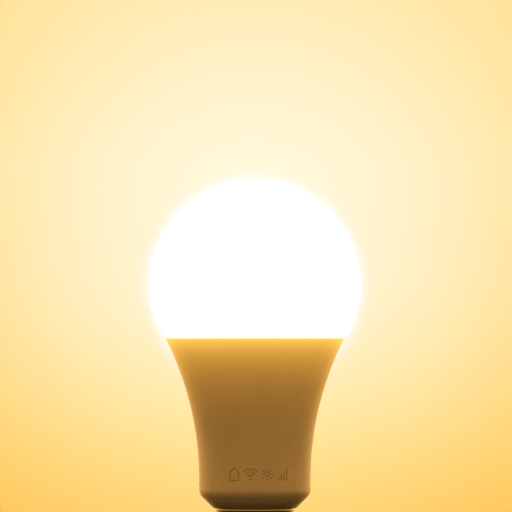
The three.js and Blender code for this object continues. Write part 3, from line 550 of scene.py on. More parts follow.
@dataclass(frozen=True)
class WoundWire(Finish):
    """Enamelled copper: a deep varnish over bright wire, darker where the varnish pooled."""

    colour: Colour
    varnish: Colour

    def shade(self, graph: Graph) -> dict[str, Value]:
        """Returns the shader's sockets."""
        place = graph.place()
        pooled = graph.noise(place, 2.2, 4.0, 0.6).rises(0.35, 0.75)
        return {
            "Base Color": graph.blend(pooled, self.colour, self.varnish),
            "Metallic": 0.85,
            "Roughness": 0.24 + pooled * 0.2,
            "Coat Weight": 0.5,
            "Coat Roughness": 0.1,
            "Normal": graph.bump(pooled, 0.01),
        }


@dataclass(frozen=True)
class Pressed(Finish):
    """Pressed powder, ceramic or paper: matt, speckled and slightly pitted."""

    colour: Colour
    speck: Colour
    roughness: float = 0.7
    speck_size: float = 0.6

    def shade(self, graph: Graph) -> dict[str, Value]:
        """Returns the shader's sockets."""
        place = graph.place()
        grain = graph.noise(place, self.speck_size, 5.0, 0.7)
        pits = 1 - graph.cells(place, self.speck_size * 1.6).rises(0.08, 0.3)
        return {
            "Base Color": graph.blend(grain.rises(0.4, 0.75), self.colour, self.speck),
            "Roughness": self.roughness + (grain - 0.5) * 0.15,
            "Normal": graph.bump(grain - pits * 0.5, 0.012),
        }


@dataclass(frozen=True)
class LedFill(Finish):
    """The fill of an LED's well: phosphor grains in clear silicone, lit a little."""

    colour: Colour
    strength: float = 0.6

    def shade(self, graph: Graph) -> dict[str, Value]:
        """Returns the shader's sockets."""
        grains = graph.noise(graph.place(), 0.18, 4.0, 0.7)
        return {
            "Base Color": graph.blend(grains, self.colour, darker(self.colour, 0.25)),
            "Roughness": 0.2 + grains * 0.15,
            "Coat Weight": 0.6,
            "Emission Color": graph.blend(grains, self.colour, darker(self.colour, 0.3)),
            "Emission Strength": self.strength,
        }


# ---- Shapes and pieces ----


class Shape:
    """A closed solid in millimetres, shaped with bmesh operators."""

    def __init__(self) -> None:
        """Starts with nothing."""
        self.bm = bmesh.new()

    @classmethod
    def turned(cls, outline: Sequence[Point], steps: int = 48, ring: bool = False) -> "Shape":
        """Spins an outline about Z.

        Args:
            outline: (radius, height) points, which end on the axis or close on themselves.
            steps: how many steps the full turn has.
            ring: True if the last point joins the first.

        Returns:
            The turned solid.
        """
        shape = cls()
        verts = [shape.bm.verts.new((radius, 0.0, height)) for radius, height in outline]
        ends = list(zip(verts, verts[1:])) + ([(verts[-1], verts[0])] if ring else [])
        edges = [shape.bm.edges.new(pair) for pair in ends]
        bmesh.ops.spin(
            shape.bm, geom=[*verts, *edges], cent=(0, 0, 0), axis=(0, 0, 1), angle=math.tau, steps=steps,
            use_merge=True,
        )
        return shape.sealed()

    @classmethod
    def block(cls, low: Place, high: Place, edge: float = 0.0, segments: int = 2) -> "Shape":
        """Makes a box between two corners, its edges rounded by that much."""
        shape = cls()
        bmesh.ops.create_cube(shape.bm, size=1.0)
        low, high = Vector(low), Vector(high)
        bmesh.ops.scale(shape.bm, vec=high - low, verts=shape.bm.verts)
        bmesh.ops.translate(shape.bm, vec=(low + high) / 2, verts=shape.bm.verts)
        return shape.bevelled(edge, segments) if edge else shape

    @classmethod
    def row(
        cls, places: Iterable[float], half: float, depth: Point, rise: Point, edge: float = 0.0
    ) -> list["Shape"]:
        """Makes equal blocks at places along X, each between the same two depths and heights."""
        ends = list(zip(depth, rise))
        return [cls.block((x - half, *ends[0]), (x + half, *ends[1]), edge, 1) for x in places]

    @classmethod
    def rod(cls, radius: float, low: float, high: float, at: Point = (0.0, 0.0), sides: int = 24,
            edge: float = 0.0) -> "Shape":
        """Makes an upright cylinder between two heights, its rims rounded by that much."""
        outline = [(0.0, low), (radius, low), (radius, high), (0.0, high)]
        return cls.turned(eased(outline, edge) if edge else outline, sides).moved(at[0], at[1], 0.0)

    @classmethod
    def pipe(cls, bore: float, radius: float, low: float, high: float, at: Point = (0.0, 0.0),
             edge: float = 0.0) -> "Shape":
        """Makes an upright pipe between two heights, its rims rounded by that much."""
        ring = [(bore, low), (radius, low), (radius, high), (bore, high)]
        outline = eased(ring, edge, ring=True) if edge else ring
        return cls.turned(outline, 32, ring=True).moved(at[0], at[1], 0.0)

    @classmethod
    def slab(cls, outline: Sequence[Point], low: float, high: float) -> "Shape":
        """Raises a flat outline of (x, y) points from one height to another."""
        shape = cls()
        face = shape.bm.faces.new([shape.bm.verts.new((x, y, low)) for x, y in outline])
        raised = bmesh.ops.extrude_face_region(shape.bm, geom=[face])
        verts = [v for v in raised["geom"] if isinstance(v, bmesh.types.BMVert)]
        bmesh.ops.translate(shape.bm, vec=(0, 0, high - low), verts=verts)
        return shape.sealed()

    @classmethod
    def wire(cls, path: Sequence[Place], radius: float, closed: bool = False, smooth: int = 4,
             sides: int = 2) -> "Shape":
        """Makes a round wire through points.

        Args:
            path: the points of its middle line.
            radius: the wire's radius.
            closed: True if it joins up.
            smooth: curve steps between two points.
            sides: steps in a quarter of its section.

        Returns:
            The wire, with its ends closed.
        """
        curve = bpy.data.curves.new("wire_path", "CURVE")
        curve.dimensions = "3D"
        curve.bevel_depth, curve.bevel_resolution = radius, sides
        curve.resolution_u, curve.use_fill_caps = smooth, not closed
        spline = curve.splines.new("BEZIER")
        spline.bezier_points.add(len(path) - 1)
        spline.use_cyclic_u = closed
        for knot, place in zip(spline.bezier_points, path):
            knot.co = place
            knot.handle_left_type = knot.handle_right_type = "AUTO"
        holder = bpy.data.objects.new("wire_path", curve)
        shape = cls.from_object(holder)
        bpy.data.curves.remove(curve)
        return shape.sealed()

    @classmethod
    def from_object(cls, holder: bpy.types.Object) -> "Shape":
        """Takes an object's shape with its modifiers applied, and removes the object."""
        bpy.context.scene.collection.objects.link(holder)
        bpy.context.view_layer.update()
        depsgraph = bpy.context.evaluated_depsgraph_get()
        mesh = bpy.data.meshes.new_from_object(holder.evaluated_get(depsgraph))
        shape = cls()
        shape.bm.from_mesh(mesh)
        bpy.data.meshes.remove(mesh)
        bpy.data.objects.remove(holder)
        return shape

    def held(self) -> bpy.types.Object:
        """Returns a new object that holds a copy of this shape."""
        mesh = bpy.data.meshes.new("held_shape")
        self.bm.to_mesh(mesh)
        return bpy.data.objects.new("held_shape", mesh)

    def sealed(self) -> "Shape":
        """Merges doubled vertices and points every face outwards."""
        bmesh.ops.remove_doubles(self.bm, verts=self.bm.verts, dist=WELD)
        bmesh.ops.recalc_face_normals(self.bm, faces=self.bm.faces)
        return self

    def bevelled(self, width: float, segments: int = 2, choose: Callable | None = None) -> "Shape":
        """Rounds the edges, or those that choose picks."""
        edges = [e for e in self.bm.edges if choose is None or choose(e)]
        bmesh.ops.bevel(
            self.bm, geom=edges, offset=width, offset_type="OFFSET", segments=segments, profile=0.5,
            affect="EDGES", material=-1, clamp_overlap=True,
        )
        return self

    def moved(self, x: float, y: float, z: float) -> "Shape":
        """Moves the shape."""
        bmesh.ops.translate(self.bm, vec=(x, y, z), verts=self.bm.verts)
        return self

    def rotated(self, axis: str, degrees: float) -> "Shape":
        """Turns the shape about X, Y or Z through the origin."""
        turn = Matrix.Rotation(math.radians(degrees), 3, axis)
        bmesh.ops.rotate(self.bm, cent=(0, 0, 0), matrix=turn, verts=self.bm.verts)
        return self

    def scaled(self, x: float, y: float, z: float) -> "Shape":
        """Stretches the shape about the origin."""
        bmesh.ops.scale(self.bm, vec=(x, y, z), verts=self.bm.verts)
        return self

    def reshaped(self, rule: Callable[[Vector], Vector]) -> "Shape":
        """Moves every vertex to where a rule puts it."""
        for vert in self.bm.verts:
            vert.co = rule(vert.co)
        return self

    def joined(self, *others: "Shape") -> "Shape":
        """Takes other shapes in as loose parts of this one."""
        for other in others:
            mesh = bpy.data.meshes.new("joined_shape")
            other.bm.to_mesh(mesh)
            self.bm.from_mesh(mesh)
            bpy.data.meshes.remove(mesh)
        return self

    def cut(self, *tools: "Shape") -> "Shape":
        """Cuts other shapes out of this one with exact Boolean modifiers."""
        body = self.held()
        cutters = [tool.held() for tool in tools]
        for cutter in cutters:
            bpy.context.scene.collection.objects.link(cutter)
            modifier = body.modifiers.new("cut", "BOOLEAN")
            modifier.operation, modifier.solver, modifier.object = "DIFFERENCE", "EXACT", cutter
        shape = Shape.from_object(body)
        for cutter in cutters:
            bpy.data.meshes.remove(cutter.data)
        return shape


class Piece:
    """One named piece of the bulb: shapes, each in a finish, that become one object in metres."""

    def __init__(self, name: str, slot: str, at: Place = (0.0, 0.0, 0.0)) -> None:
        """Starts an empty piece with a record's slot, whose shapes are moved to a place."""
        self.name = name
        self.slot = slot
        self.at = at
        self.parts: list[tuple[Shape, Finish]] = []

    def add(self, finish: Finish, *shapes: Shape) -> "Piece":
        """Adds shapes in one finish."""
        self.parts.extend((shape.moved(*self.at), finish) for shape in shapes)
        return self

    def build(self, *nodes: str) -> None:
        """Makes the object, which rides on the bulb and stands for CAD nodes.

        Args:
            nodes: the CAD nodes that it replaces.
        """
        finishes = list(dict.fromkeys(finish for _, finish in self.parts))
        whole = Shape()
        for shape, finish in self.parts:
            for face in shape.bm.faces:
                face.material_index = finishes.index(finish)
            whole.joined(shape)
        for face in whole.bm.faces:
            face.smooth = True
        for edge in whole.bm.edges:
            edge.smooth = edge.calc_face_angle(0.0) < math.radians(SHARP_DEG)
        whole.scaled(MM, MM, MM)
        mesh = bpy.data.meshes.new(self.name)
        whole.bm.to_mesh(mesh)
        for finish in finishes:
            mesh.materials.append(finish.material())
        made = bpy.data.objects.new(self.name, mesh)
        bpy.context.scene.collection.objects.link(made)
        even = made.modifiers.new("even_shading", "WEIGHTED_NORMAL")
        even.keep_sharp = True
        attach(made, BODY)
        if nodes:
            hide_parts(*nodes)
        LOG.info("%s: %d faces, %d finishes", self.name, len(mesh.polygons), len(finishes))


# ---- Finishes of this bulb ----

EVEN = (1.0, 1.0, 1.0)
HOUSING_CREAM = tone("EFDDB6")
MARK_INK = tone("C6B084")

CAP_NICKEL = RolledThread("rolled_nickel", tone("A69E8E"), tone("635A4B"), 0.26, tarnished=0.45)
INSULATOR_GLASS = Glazed("black_cap_glass", tone("100F12"), tone("3A3634"))
CONTACT_BRASS = Plated("coined_brass", tone("D2AC62"), tone("7D6134"), 0.26, (2.0, 2.0, 2.0), tarnished=0.5)
SOLDER = Plated("solder", tone("C9C8C6"), tone("8E8D8A"), 0.3, EVEN, 0.02, 0.4)


# ---- Globe ----


@dataclass
class Globe:
    """The opal globe: most of a sphere, a shoulder, and a skirt that snaps into the housing."""

    wall: float = 1.2
    shoulder_radius: float = 19.6
    shoulder_end_deg: float = 42.0
    rebate_gap: float = 0.15
    snap_bead: float = 0.3
    snap_rise: float = 1.1
    foot_light: Colour = (1.0, 0.52, 0.14)
    light: Colour = (1.0, 0.56, 0.18)
    strength: float = 7.3
    light_rise: float = 12.0
    steps: int = 160

    def __post_init__(self) -> None:
        """Reads the joint from the frame."""
        self.lip_radius = Box.of("housing_shell").high.x
        self.skirt_radius = Box.of("sealant_ring").high.x

    def outline(self) -> list[Point]:
        """Works out the wall's outline, from the inside of the top round the skirt to the outside."""
        box, end = Box.of("diffuser_dome"), math.radians(self.shoulder_end_deg)
        globe, shoulder = box.high.x, self.shoulder_radius
        centre = (0.0, box.high.z - globe)
        # The shoulder's arc leaves the globe's without a corner and ends at the lip.
        across = self.lip_radius - shoulder * math.cos(end)
        blend = math.acos(across / (globe - shoulder))
        up = centre[1] - (globe - shoulder) * math.sin(blend)
        lip = up - shoulder * math.sin(end)
        flange, bend, inner = lip + self.wall, (across, up), shoulder - self.wall
        blend_deg = math.degrees(blend)
        inner_end_deg = math.degrees(math.asin((up - flange) / inner))
        low, face, bead = box.low.z, self.skirt_radius, self.snap_bead
        bore, snap = face - self.wall, low + self.snap_rise
        skirt = eased([
            (bore, flange), (bore, low), (face, low), (face, snap - bead), (face + bead, snap),
            (face, snap + bead), (face, lip), (self.lip_radius - 0.25, lip),
        ], 0.2)
        inside = arc(centre, globe - self.wall, 90, -blend_deg, 44)
        inside += arc(bend, inner, -blend_deg, -inner_end_deg, 8)[1:]
        outside = arc(bend, shoulder, -self.shoulder_end_deg + 0.6, -blend_deg, 12)
        outside += arc(centre, globe, -blend_deg, 90, 60)[1:]
        line = [*inside, *skirt, *outside]
        return [(0.0, z) if r < WELD else (r, z) for r, z in line]

    def build(self) -> None:
        """Makes the globe."""
        low = Box.of("diffuser_dome").low.z
        lit = LitOpal("lit_opal", low, low + self.light_rise, self.foot_light, self.light, self.strength)
        wall = Shape.turned(self.outline(), self.steps)
        Piece("opal_globe", "opal_globe").add(lit, wall).build("diffuser_dome")


# ---- Housing and its printed marks ----


@dataclass
class Housing:
    """The flared plastic body: a stub that takes the cap, a chamfer, a neck and a rebated rim."""

    wall: float = 1.4
    seat: float = 27.9
    foot_radius: float = 14.6
    neck_radius: float = 19.7
    neck_straight: float = 5.0
    fillet: float = 3.9
    stub_bore: float = 9.45
    stub_radius: float = 11.45
    stub_collar: float = 12.7
    groove_radius: float = 12.0
    groove_low: float = 22.7
    groove_high: float = 24.9
    rebate_depth: float = 3.6
    edge: float = 0.22
    notch_width: float = 1.6
    notch_depth: float = 1.1
    notch_top: float = 21.4
    steps: int = 192

    def __post_init__(self) -> None:
        """Reads the joint from the frame and works out the flare's arc."""
        self.box = Box.of("housing_shell")
        self.joint = self.box.high.z
        self.rebate_radius = Box.of("sealant_ring").high.x + Globe.rebate_gap
        self.snap_height = Box.of("diffuser_dome").low.z + Globe.snap_rise
        self.corner = self.seat + self.neck_radius - self.foot_radius
        self.flare_start = self.corner + self.neck_straight
        rise, run = self.joint - self.flare_start, self.box.high.x - self.neck_radius
        self.flare_radius = (rise**2 + run**2) / (2 * run)

    def radius_at(self, height: float, inset: float = 0.0) -> float:
        """Returns the flare's radius at a height, the inset measured square to its skin."""
        rise = max(0.0, height - self.flare_start)
        return self.neck_radius + self.flare_radius - math.sqrt((self.flare_radius + inset) ** 2 - rise**2)

    def flare(self, low: float, high: float, inset: float, steps: int) -> list[Point]:
        """Places points up the flare."""
        heights = [low + (high - low) * i / steps for i in range(steps + 1)]
        return [(self.radius_at(z, inset), z) for z in heights]

    def chamfer_floor(self, radius: float) -> float:
        """Returns the height of the chamfer's inner face."""
        return self.seat + radius - self.foot_radius + self.wall * math.sqrt(2)

    def outline(self) -> list[Point]:
        """Works out the shell's outline, which closes on itself."""
        tangent = self.fillet * math.tan(math.pi / 8)
        fillet = arc((self.neck_radius - self.fillet, self.corner + tangent), self.fillet, -45, 0, 14)
        bore = self.neck_radius - self.wall
        low, joint, rebate = self.box.low.z, self.joint, self.joint - self.rebate_depth
        stub, groove, collar = self.stub_radius, self.groove_radius, self.stub_collar
        foot = eased([
            (self.stub_bore, low + 2), (self.stub_bore, low), (stub, low), (stub, self.groove_low),
            (groove, self.groove_low + groove - stub), (groove, self.groove_high),
            (collar, self.groove_high + 0.6), (collar, self.seat), (self.foot_radius, self.seat), fillet[0],
        ], self.edge)
        face, snap, bead = self.rebate_radius, self.snap_height, Globe.snap_bead
        rim = eased([
            (self.radius_at(joint - 1), joint - 1), (self.box.high.x, joint), (face, joint),
            (face, snap + bead), (face + bead, snap), (face, snap - bead), (face, rebate),
            (self.radius_at(rebate, self.wall), rebate),
        ], self.edge)
        outer = self.flare(self.flare_start, joint - 1, 0.0, 44)[:-1]
        inner = self.flare(self.flare_start, rebate, self.wall, 20)[::-1]
        floor = [(bore, self.chamfer_floor(bore)), (self.stub_bore, self.chamfer_floor(self.stub_bore))]
        return [*foot, *fillet[1:], *outer[1:], *rim, *inner[1:], *floor]

    def plastic(self, name: str, colour: Colour, *surface: float) -> PaintedLightHousing:
        """Returns a finish with painted glow and painted shade, with its gloss and grain if they are given.
        """
        return PaintedLightHousing(name, colour, *surface, joint_height=self.joint, foot_height=self.seat)

    def build(self) -> None:
        """Makes the shell, with the notch that the neutral lead lies in."""
        plastic = self.plastic("satin_cream_plastic", HOUSING_CREAM, 0.62)
        half = self.notch_width / 2
        notch_radius = self.stub_radius - self.notch_depth
        low = (notch_radius, -half, self.box.low.z - 1)
        notch = Shape.block(low, (self.stub_radius + 0.3, half, self.notch_top))
        shell = Shape.turned(self.outline(), self.steps, ring=True).cut(notch)
        Piece("flared_housing", "housing_plastic").add(plastic, shell).build("housing_shell")


@dataclass
class PrintedMarks:
    """A row of plain pictograms on the neck's front: a house, wireless arcs, a sun and rising bars."""

    left: float = -9.6
    right: float = 12.4
    low: float = 38.0
    high: float = 42.4
    line: float = 0.56
    lift: float = 0.03
    sink: float = 0.25

    def build(self, housing: Housing) -> None:
        """Makes the marks and wraps them round the neck.

        Args:
            housing: the body they are printed on.
        """
        size = self.high - self.low
        drawn = (self.house, self.arcs, self.sun, self.dimmer)
        step = (self.right - self.left - size) / (len(drawn) - 1)
        # The ink carries the housing's painted glow and painted shade.
        ink = housing.plastic("mark_ink", MARK_INK, 0.55, 0.2, 0.002)
        piece = Piece("printed_marks", "housing_plastic")
        for i, draw in enumerate(drawn):
            place = (self.left + size / 2 + i * step, (self.low + self.high) / 2, 0.0)
            for shape in draw(size / 2):
                piece.add(ink, shape.moved(*place).reshaped(lambda co: self.wrapped(co, housing)))
        piece.build()

    def wrapped(self, flat: Vector, housing: Housing) -> Vector:
        """Wraps a point of the flat drawing, whose Z is 0 or 1, on to the neck's front."""
        skin = housing.radius_at(flat.y)
        radius = skin + self.lift if flat.z > 0.5 else skin - self.sink
        angle = flat.x / skin - math.pi / 2
        return Vector((radius * math.cos(angle), radius * math.sin(angle), flat.y))

    def band(self, radius: float, from_deg: float, to_deg: float, at: Point = (0, 0)) -> Shape:
        """Draws a stretch of a ring as a line."""
        half = self.line / 2
        steps = max(6, round(abs(to_deg - from_deg) / 8))
        outer = arc(at, radius + half, from_deg, to_deg, steps)
        inner = arc(at, radius - half, to_deg, from_deg, steps)
        return Shape.slab([*outer, *inner], 0.0, 1.0)

    def stroke(self, start: Point, end: Point) -> Shape:
        """Draws a straight line, in short steps so that it wraps."""
        a, b = Vector(start), Vector(end)
        side = (b - a).normalized().orthogonal() * self.line / 2
        steps = 4
        there = [tuple(a.lerp(b, i / steps) + side) for i in range(steps + 1)]
        back = [tuple(a.lerp(b, i / steps) - side) for i in range(steps, -1, -1)]
        return Shape.slab([*there, *back], 0.0, 1.0)

    def house(self, half: float) -> list[Shape]:
        """Draws a house: a roof, two walls and a floor."""
        eave, wall = half * 0.05, half * 0.72
        lines = [
            ((-half, eave), (0, half)), ((0, half), (half, eave)), ((-wall, half * 0.2), (-wall, -half)),
            ((wall, half * 0.2), (wall, -half)), ((-wall, -half), (wall, -half)),
        ]
        return [self.stroke(*ends) for ends in lines]

    def arcs(self, half: float) -> list[Shape]:
        """Draws wireless arcs over a dot."""
        foot = (0.0, -half * 0.8)
        dot = Shape.slab(arc(foot, self.line * 0.8, 0, 345, 12), 0.0, 1.0)
        return [dot, *(self.band(half * share, 45, 135, foot) for share in (0.65, 1.15, 1.65))]

    def sun(self, half: float) -> list[Shape]:
        """Draws a sun with eight rays."""
        rays = [(on_ring(half * 0.68, turn), on_ring(half, turn)) for turn in range(0, 360, 45)]
        left, right = self.band(half * 0.38, 90, 270), self.band(half * 0.38, -90, 90)
        return [left, right, *(self.stroke(*ends) for ends in rays)]

    def dimmer(self, half: float) -> list[Shape]:
        """Draws four rising bars."""
        step = half / 2
        lines = [((step * (i - 1.5), -half), (step * (i - 1.5), half * (0.5 * i - 0.5))) for i in range(4)]
        return [self.stroke(*ends) for ends in lines]


# ---- Screw cap ----


@dataclass
class ScrewCap:
    """The rolled cap with its insulator and its contact."""

    wall: float = 0.3
    mouth_radius: float = 8.7
    mouth_curve: float = 2.7
    crest_radius: float = 13.15
    thread_depth: float = 1.1
    pitch: float = 3.629
    thread_length: float = 15.0
    collar_radius: float = 13.3
    collar_height: float = 5.2
    rim_radius: float = 14.0
    rim_flare_height: float = 1.3
    crimp_drop: float = 3.0
    crimp_depth: float = 0.4
    crimp_size: float = 0.7
    crimps: int = 8
    rows_in_turn: int = 16
    steps: int = 144

    def __post_init__(self) -> None:
        """Works out the heights from the mouth up."""
        self.mouth = Box.of("cap_shell").low.z
        self.thread_start = self.mouth + self.wall + self.mouth_curve
        self.thread_end = self.thread_start + self.thread_length
        self.rim = self.thread_end + self.collar_height
        self.root_radius = self.crest_radius - self.thread_depth

    def outline(self) -> list[Point]:
        """Works out the outer skin, plain where the thread will be pressed in."""
        curve_centre = (self.root_radius - self.mouth_curve, self.thread_start)
        rows = round(self.thread_length / self.pitch * self.rows_in_turn)
        step = self.thread_length / rows
        thread = [(self.root_radius, self.thread_start + step * i) for i in range(rows + 1)]
        flare = self.rim - self.rim_flare_height
        step_up = self.thread_end + self.collar_radius - self.root_radius
        crimp = self.rim - self.crimp_drop
        collar = [(self.collar_radius, crimp + self.crimp_size * (i / 4 - 1.5)) for i in range(13)]
        face, rim, reach = self.collar_radius, self.rim_radius, 2 * self.crimp_size
        top = eased([(self.root_radius, self.thread_end), (face, step_up), (face, crimp - reach)], 0.5)
        lip = eased([(face, crimp + reach), (face, flare), (rim, self.rim - 0.35), (rim, self.rim)], 0.4)
        return [
            (self.mouth_radius, self.mouth), *arc(curve_centre, self.mouth_curve, -78, -8, 8),
            *thread[:-1], *top, *collar, *lip,
        ]

    def thread_lift(self, angle: float, height: float) -> float:
        """Returns how far the rolled thread moves the wall out. It fades over its end turns."""
        fade_length = self.pitch / 2
        into = min(1.0, max(0.0, (height - self.thread_start) / fade_length))
        out = min(1.0, max(0.0, (self.thread_end - height) / fade_length))
        fade = into**2 * (3 - 2 * into) * out**2 * (3 - 2 * out)
        turn = math.tau * (height - self.thread_start) / self.pitch - angle
        return self.thread_depth * fade * (0.5 - 0.5 * math.cos(turn))

    def crimp_dent(self, angle: float, height: float) -> float:
        """Returns how far a punched crimp pushes the collar in."""
        turns = angle / math.tau * self.crimps
        along = (turns - round(turns)) * math.tau * self.collar_radius / self.crimps
        away = math.hypot(along, height - (self.rim - self.crimp_drop)) / self.crimp_size
        return self.crimp_depth * math.exp(-(away**2))

    def pressed(self, place: Vector) -> Vector:
        """Moves a point of the plain cap to where the thread and the crimps put it."""
        angle, radius = math.atan2(place.y, place.x), math.hypot(place.x, place.y)
        lift = self.thread_lift(angle, place.z) - self.crimp_dent(angle, place.z)
        return Vector((place.x * (1 + lift / radius), place.y * (1 + lift / radius), place.z))

    def shell(self) -> Shape:
        """Makes the cap: its skin is turned, pressed, and then given its wall."""
        outer = self.outline()
        inner = []
        for i, (radius, height) in enumerate(outer):
            before, after = Vector(outer[max(0, i - 1)]), Vector(outer[min(len(outer) - 1, i + 1)])
            along = (after - before).normalized()
            inner.append((radius - along.y * self.wall, height + along.x * self.wall))
        return Shape.turned([*outer, *inner[::-1]], self.steps, ring=True).reshaped(self.pressed)

    def insulator(self) -> Shape:
        """Makes the pressed insulator: ribbed between the contact and the mouth."""
        box = Box.of("cap_insulator")
        low, high, throat = box.low.z, box.high.z, self.mouth_radius - 0.3
        ledge, bore = self.mouth + self.wall + 0.6, 1.35
        outline = [
            (bore, low), (5.8, low), (6.1, low + 0.55), (6.75, low + 0.8), (7.0, low + 1.5),
            (7.5, low + 1.95), (throat, self.mouth), (throat, ledge), (box.high.x, ledge + 0.45),
            (box.high.x, high), (bore, high),
        ]
        return Shape.turned(eased(outline, 0.3), 72, ring=True)

    def contact(self) -> Shape:
        """Makes the contact: a rolled button with its riveted shank."""
        box = Box.of("centre_contact")
        outline = [
            (0.0, 0.0), (3.2, 0.0), (4.35, 0.5), (4.9, 1.1), (4.9, 1.5), (1.2, 1.5), (1.2, box.high.z),
            (0.0, box.high.z),
        ]
        return Shape.turned(eased(outline, 0.25), 64)

    def build(self) -> None:
        """Makes the three pieces."""
        Piece("rolled_cap", "cap_nickel").add(CAP_NICKEL, self.shell()).build("cap_shell")
        glass = Piece("black_insulator", "cap_insulator")
        glass.add(INSULATOR_GLASS, self.insulator()).build("cap_insulator")
        Piece("contact_button", "contact_brass").add(CONTACT_BRASS, self.contact()).build("centre_contact")


# ---- Finishes of what is inside ----

DRAWN_ALUMINIUM = Plated(
    "drawn_aluminium", tone("D3D5D6"), tone("A3A5A6"), 0.34, (2.0, 2.0, 0.2), 0.006, 0.4
)
PAD_RUBBER = Moulded("thermal_pad_rubber", tone("B9C3CC"), 0.25, 0.5, 0.02, 0.12, 6.0)
SEALANT = Moulded("sealant_silicone", tone("E9E7E0"), 0.5, 0.9, 0.03, 0.05, 5.0)
WHITE_MASK = Circuit("white_solder_mask", tone("F2F1EC"), 0.8, 0.5)
GREEN_MASK = Circuit("green_solder_mask", tone("2E6B3C"))
BLUE_MASK = Circuit("blue_solder_mask", tone("20324F"))
TINNED = Plated("tinned_copper", tone("CFCFCB"), tone("9B9A96"), 0.28, EVEN, 0.01, 0.4)
GOLD = Plated("gold_flash", tone("E1B964"), tone("A98643"), 0.22, EVEN, 0.004, 0.3)
SCREW_STEEL = Plated("zinc_screw", tone("C4C8CC"), tone("8F949A"), 0.26, EVEN, 0.006, 0.4)
SHIELD_STEEL = Plated(
    "nickel_silver_can", tone("C9C6BD"), tone("979286"), 0.3, (0.15, 3.0, 3.0), 0.004, 0.35
)
LED_WHITE = Moulded("led_resin", tone("F3F2EE"), 0.55, 0.2, 0.003, 0.04, 2.0)
CONNECTOR_WHITE = Moulded("connector_nylon", tone("ECE7DA"), 0.45, 0.3, 0.006, 0.06, 4.0)
SLEEVE_WHITE = Moulded("sleeve_polycarbonate", tone("E4E3DE"), 0.55, 0.4, 0.006, 0.06, 10.0)
BLACK_MOULDED = Moulded("black_epoxy", tone("1E1E20"), 0.4, 0.25, 0.006, 0.2, 3.0)
CERAMIC = Pressed("ceramic_chip", tone("A98A62"), tone("8A6E4B"), 0.5, 0.3)
FERRITE = Pressed("pressed_ferrite", tone("3A3A3D"), tone("55555A"), 0.62, 0.5)
RESISTOR_GREEN = Pressed("resistor_cement", tone("5E8C6A"), tone("4B7356"), 0.5, 0.5)
VARISTOR_BLUE = Glazed("varistor_epoxy", tone("2F5FA8"), tone("22488A"), 0.28, 1.6, 0.05)
COPPER = WoundWire("enamelled_copper", tone("C9763A"), tone("7E3A1C"))
YELLOW_TAPE = Moulded("polyester_tape", tone("E6C35A"), 0.65, 1.2, 0.008, 0.08, 3.0)
YELLOW_BOX = Moulded("film_capacitor_resin", tone("D8A52B"), 0.55, 0.3, 0.006, 0.1, 4.0)
SLEEVE_BLUE = Moulded("capacitor_film", tone("26303F"), 0.72, 0.8, 0.006, 0.12, 4.0)
STRIPE_GREY = Moulded("capacitor_stripe", tone("A9AFB6"), 0.6, 0.8, 0.004, 0.1, 3.0)
BAND_BROWN = Moulded("band_brown", tone("5B3420"), 0.5, 0.2, 0.002)
BAND_BLACK = Moulded("band_black", tone("17171A"), 0.5, 0.2, 0.002)
BAND_GOLD = Moulded("band_gold", tone("A98A3C"), 0.6, 0.2, 0.002)
LEAD_RED = Moulded("red_silicone_coat", tone("B3242A"), 0.4, 0.4, 0.01, 0.1, 4.0)
LEAD_BLACK = Moulded("black_silicone_coat", tone("232326"), 0.4, 0.4, 0.01, 0.15, 4.0)

SKIN = 0.02  # how deep a thin raised part starts under the face that it lies on


def screw_places() -> list[Point]:
    """Reads where the lamp board's three screws stand."""
    return [tuple(Box.of(f"lamp_board_screw_{i}").centre.xy) for i in (1, 2, 3)]


# ---- Heat sink, pad and sealant ----


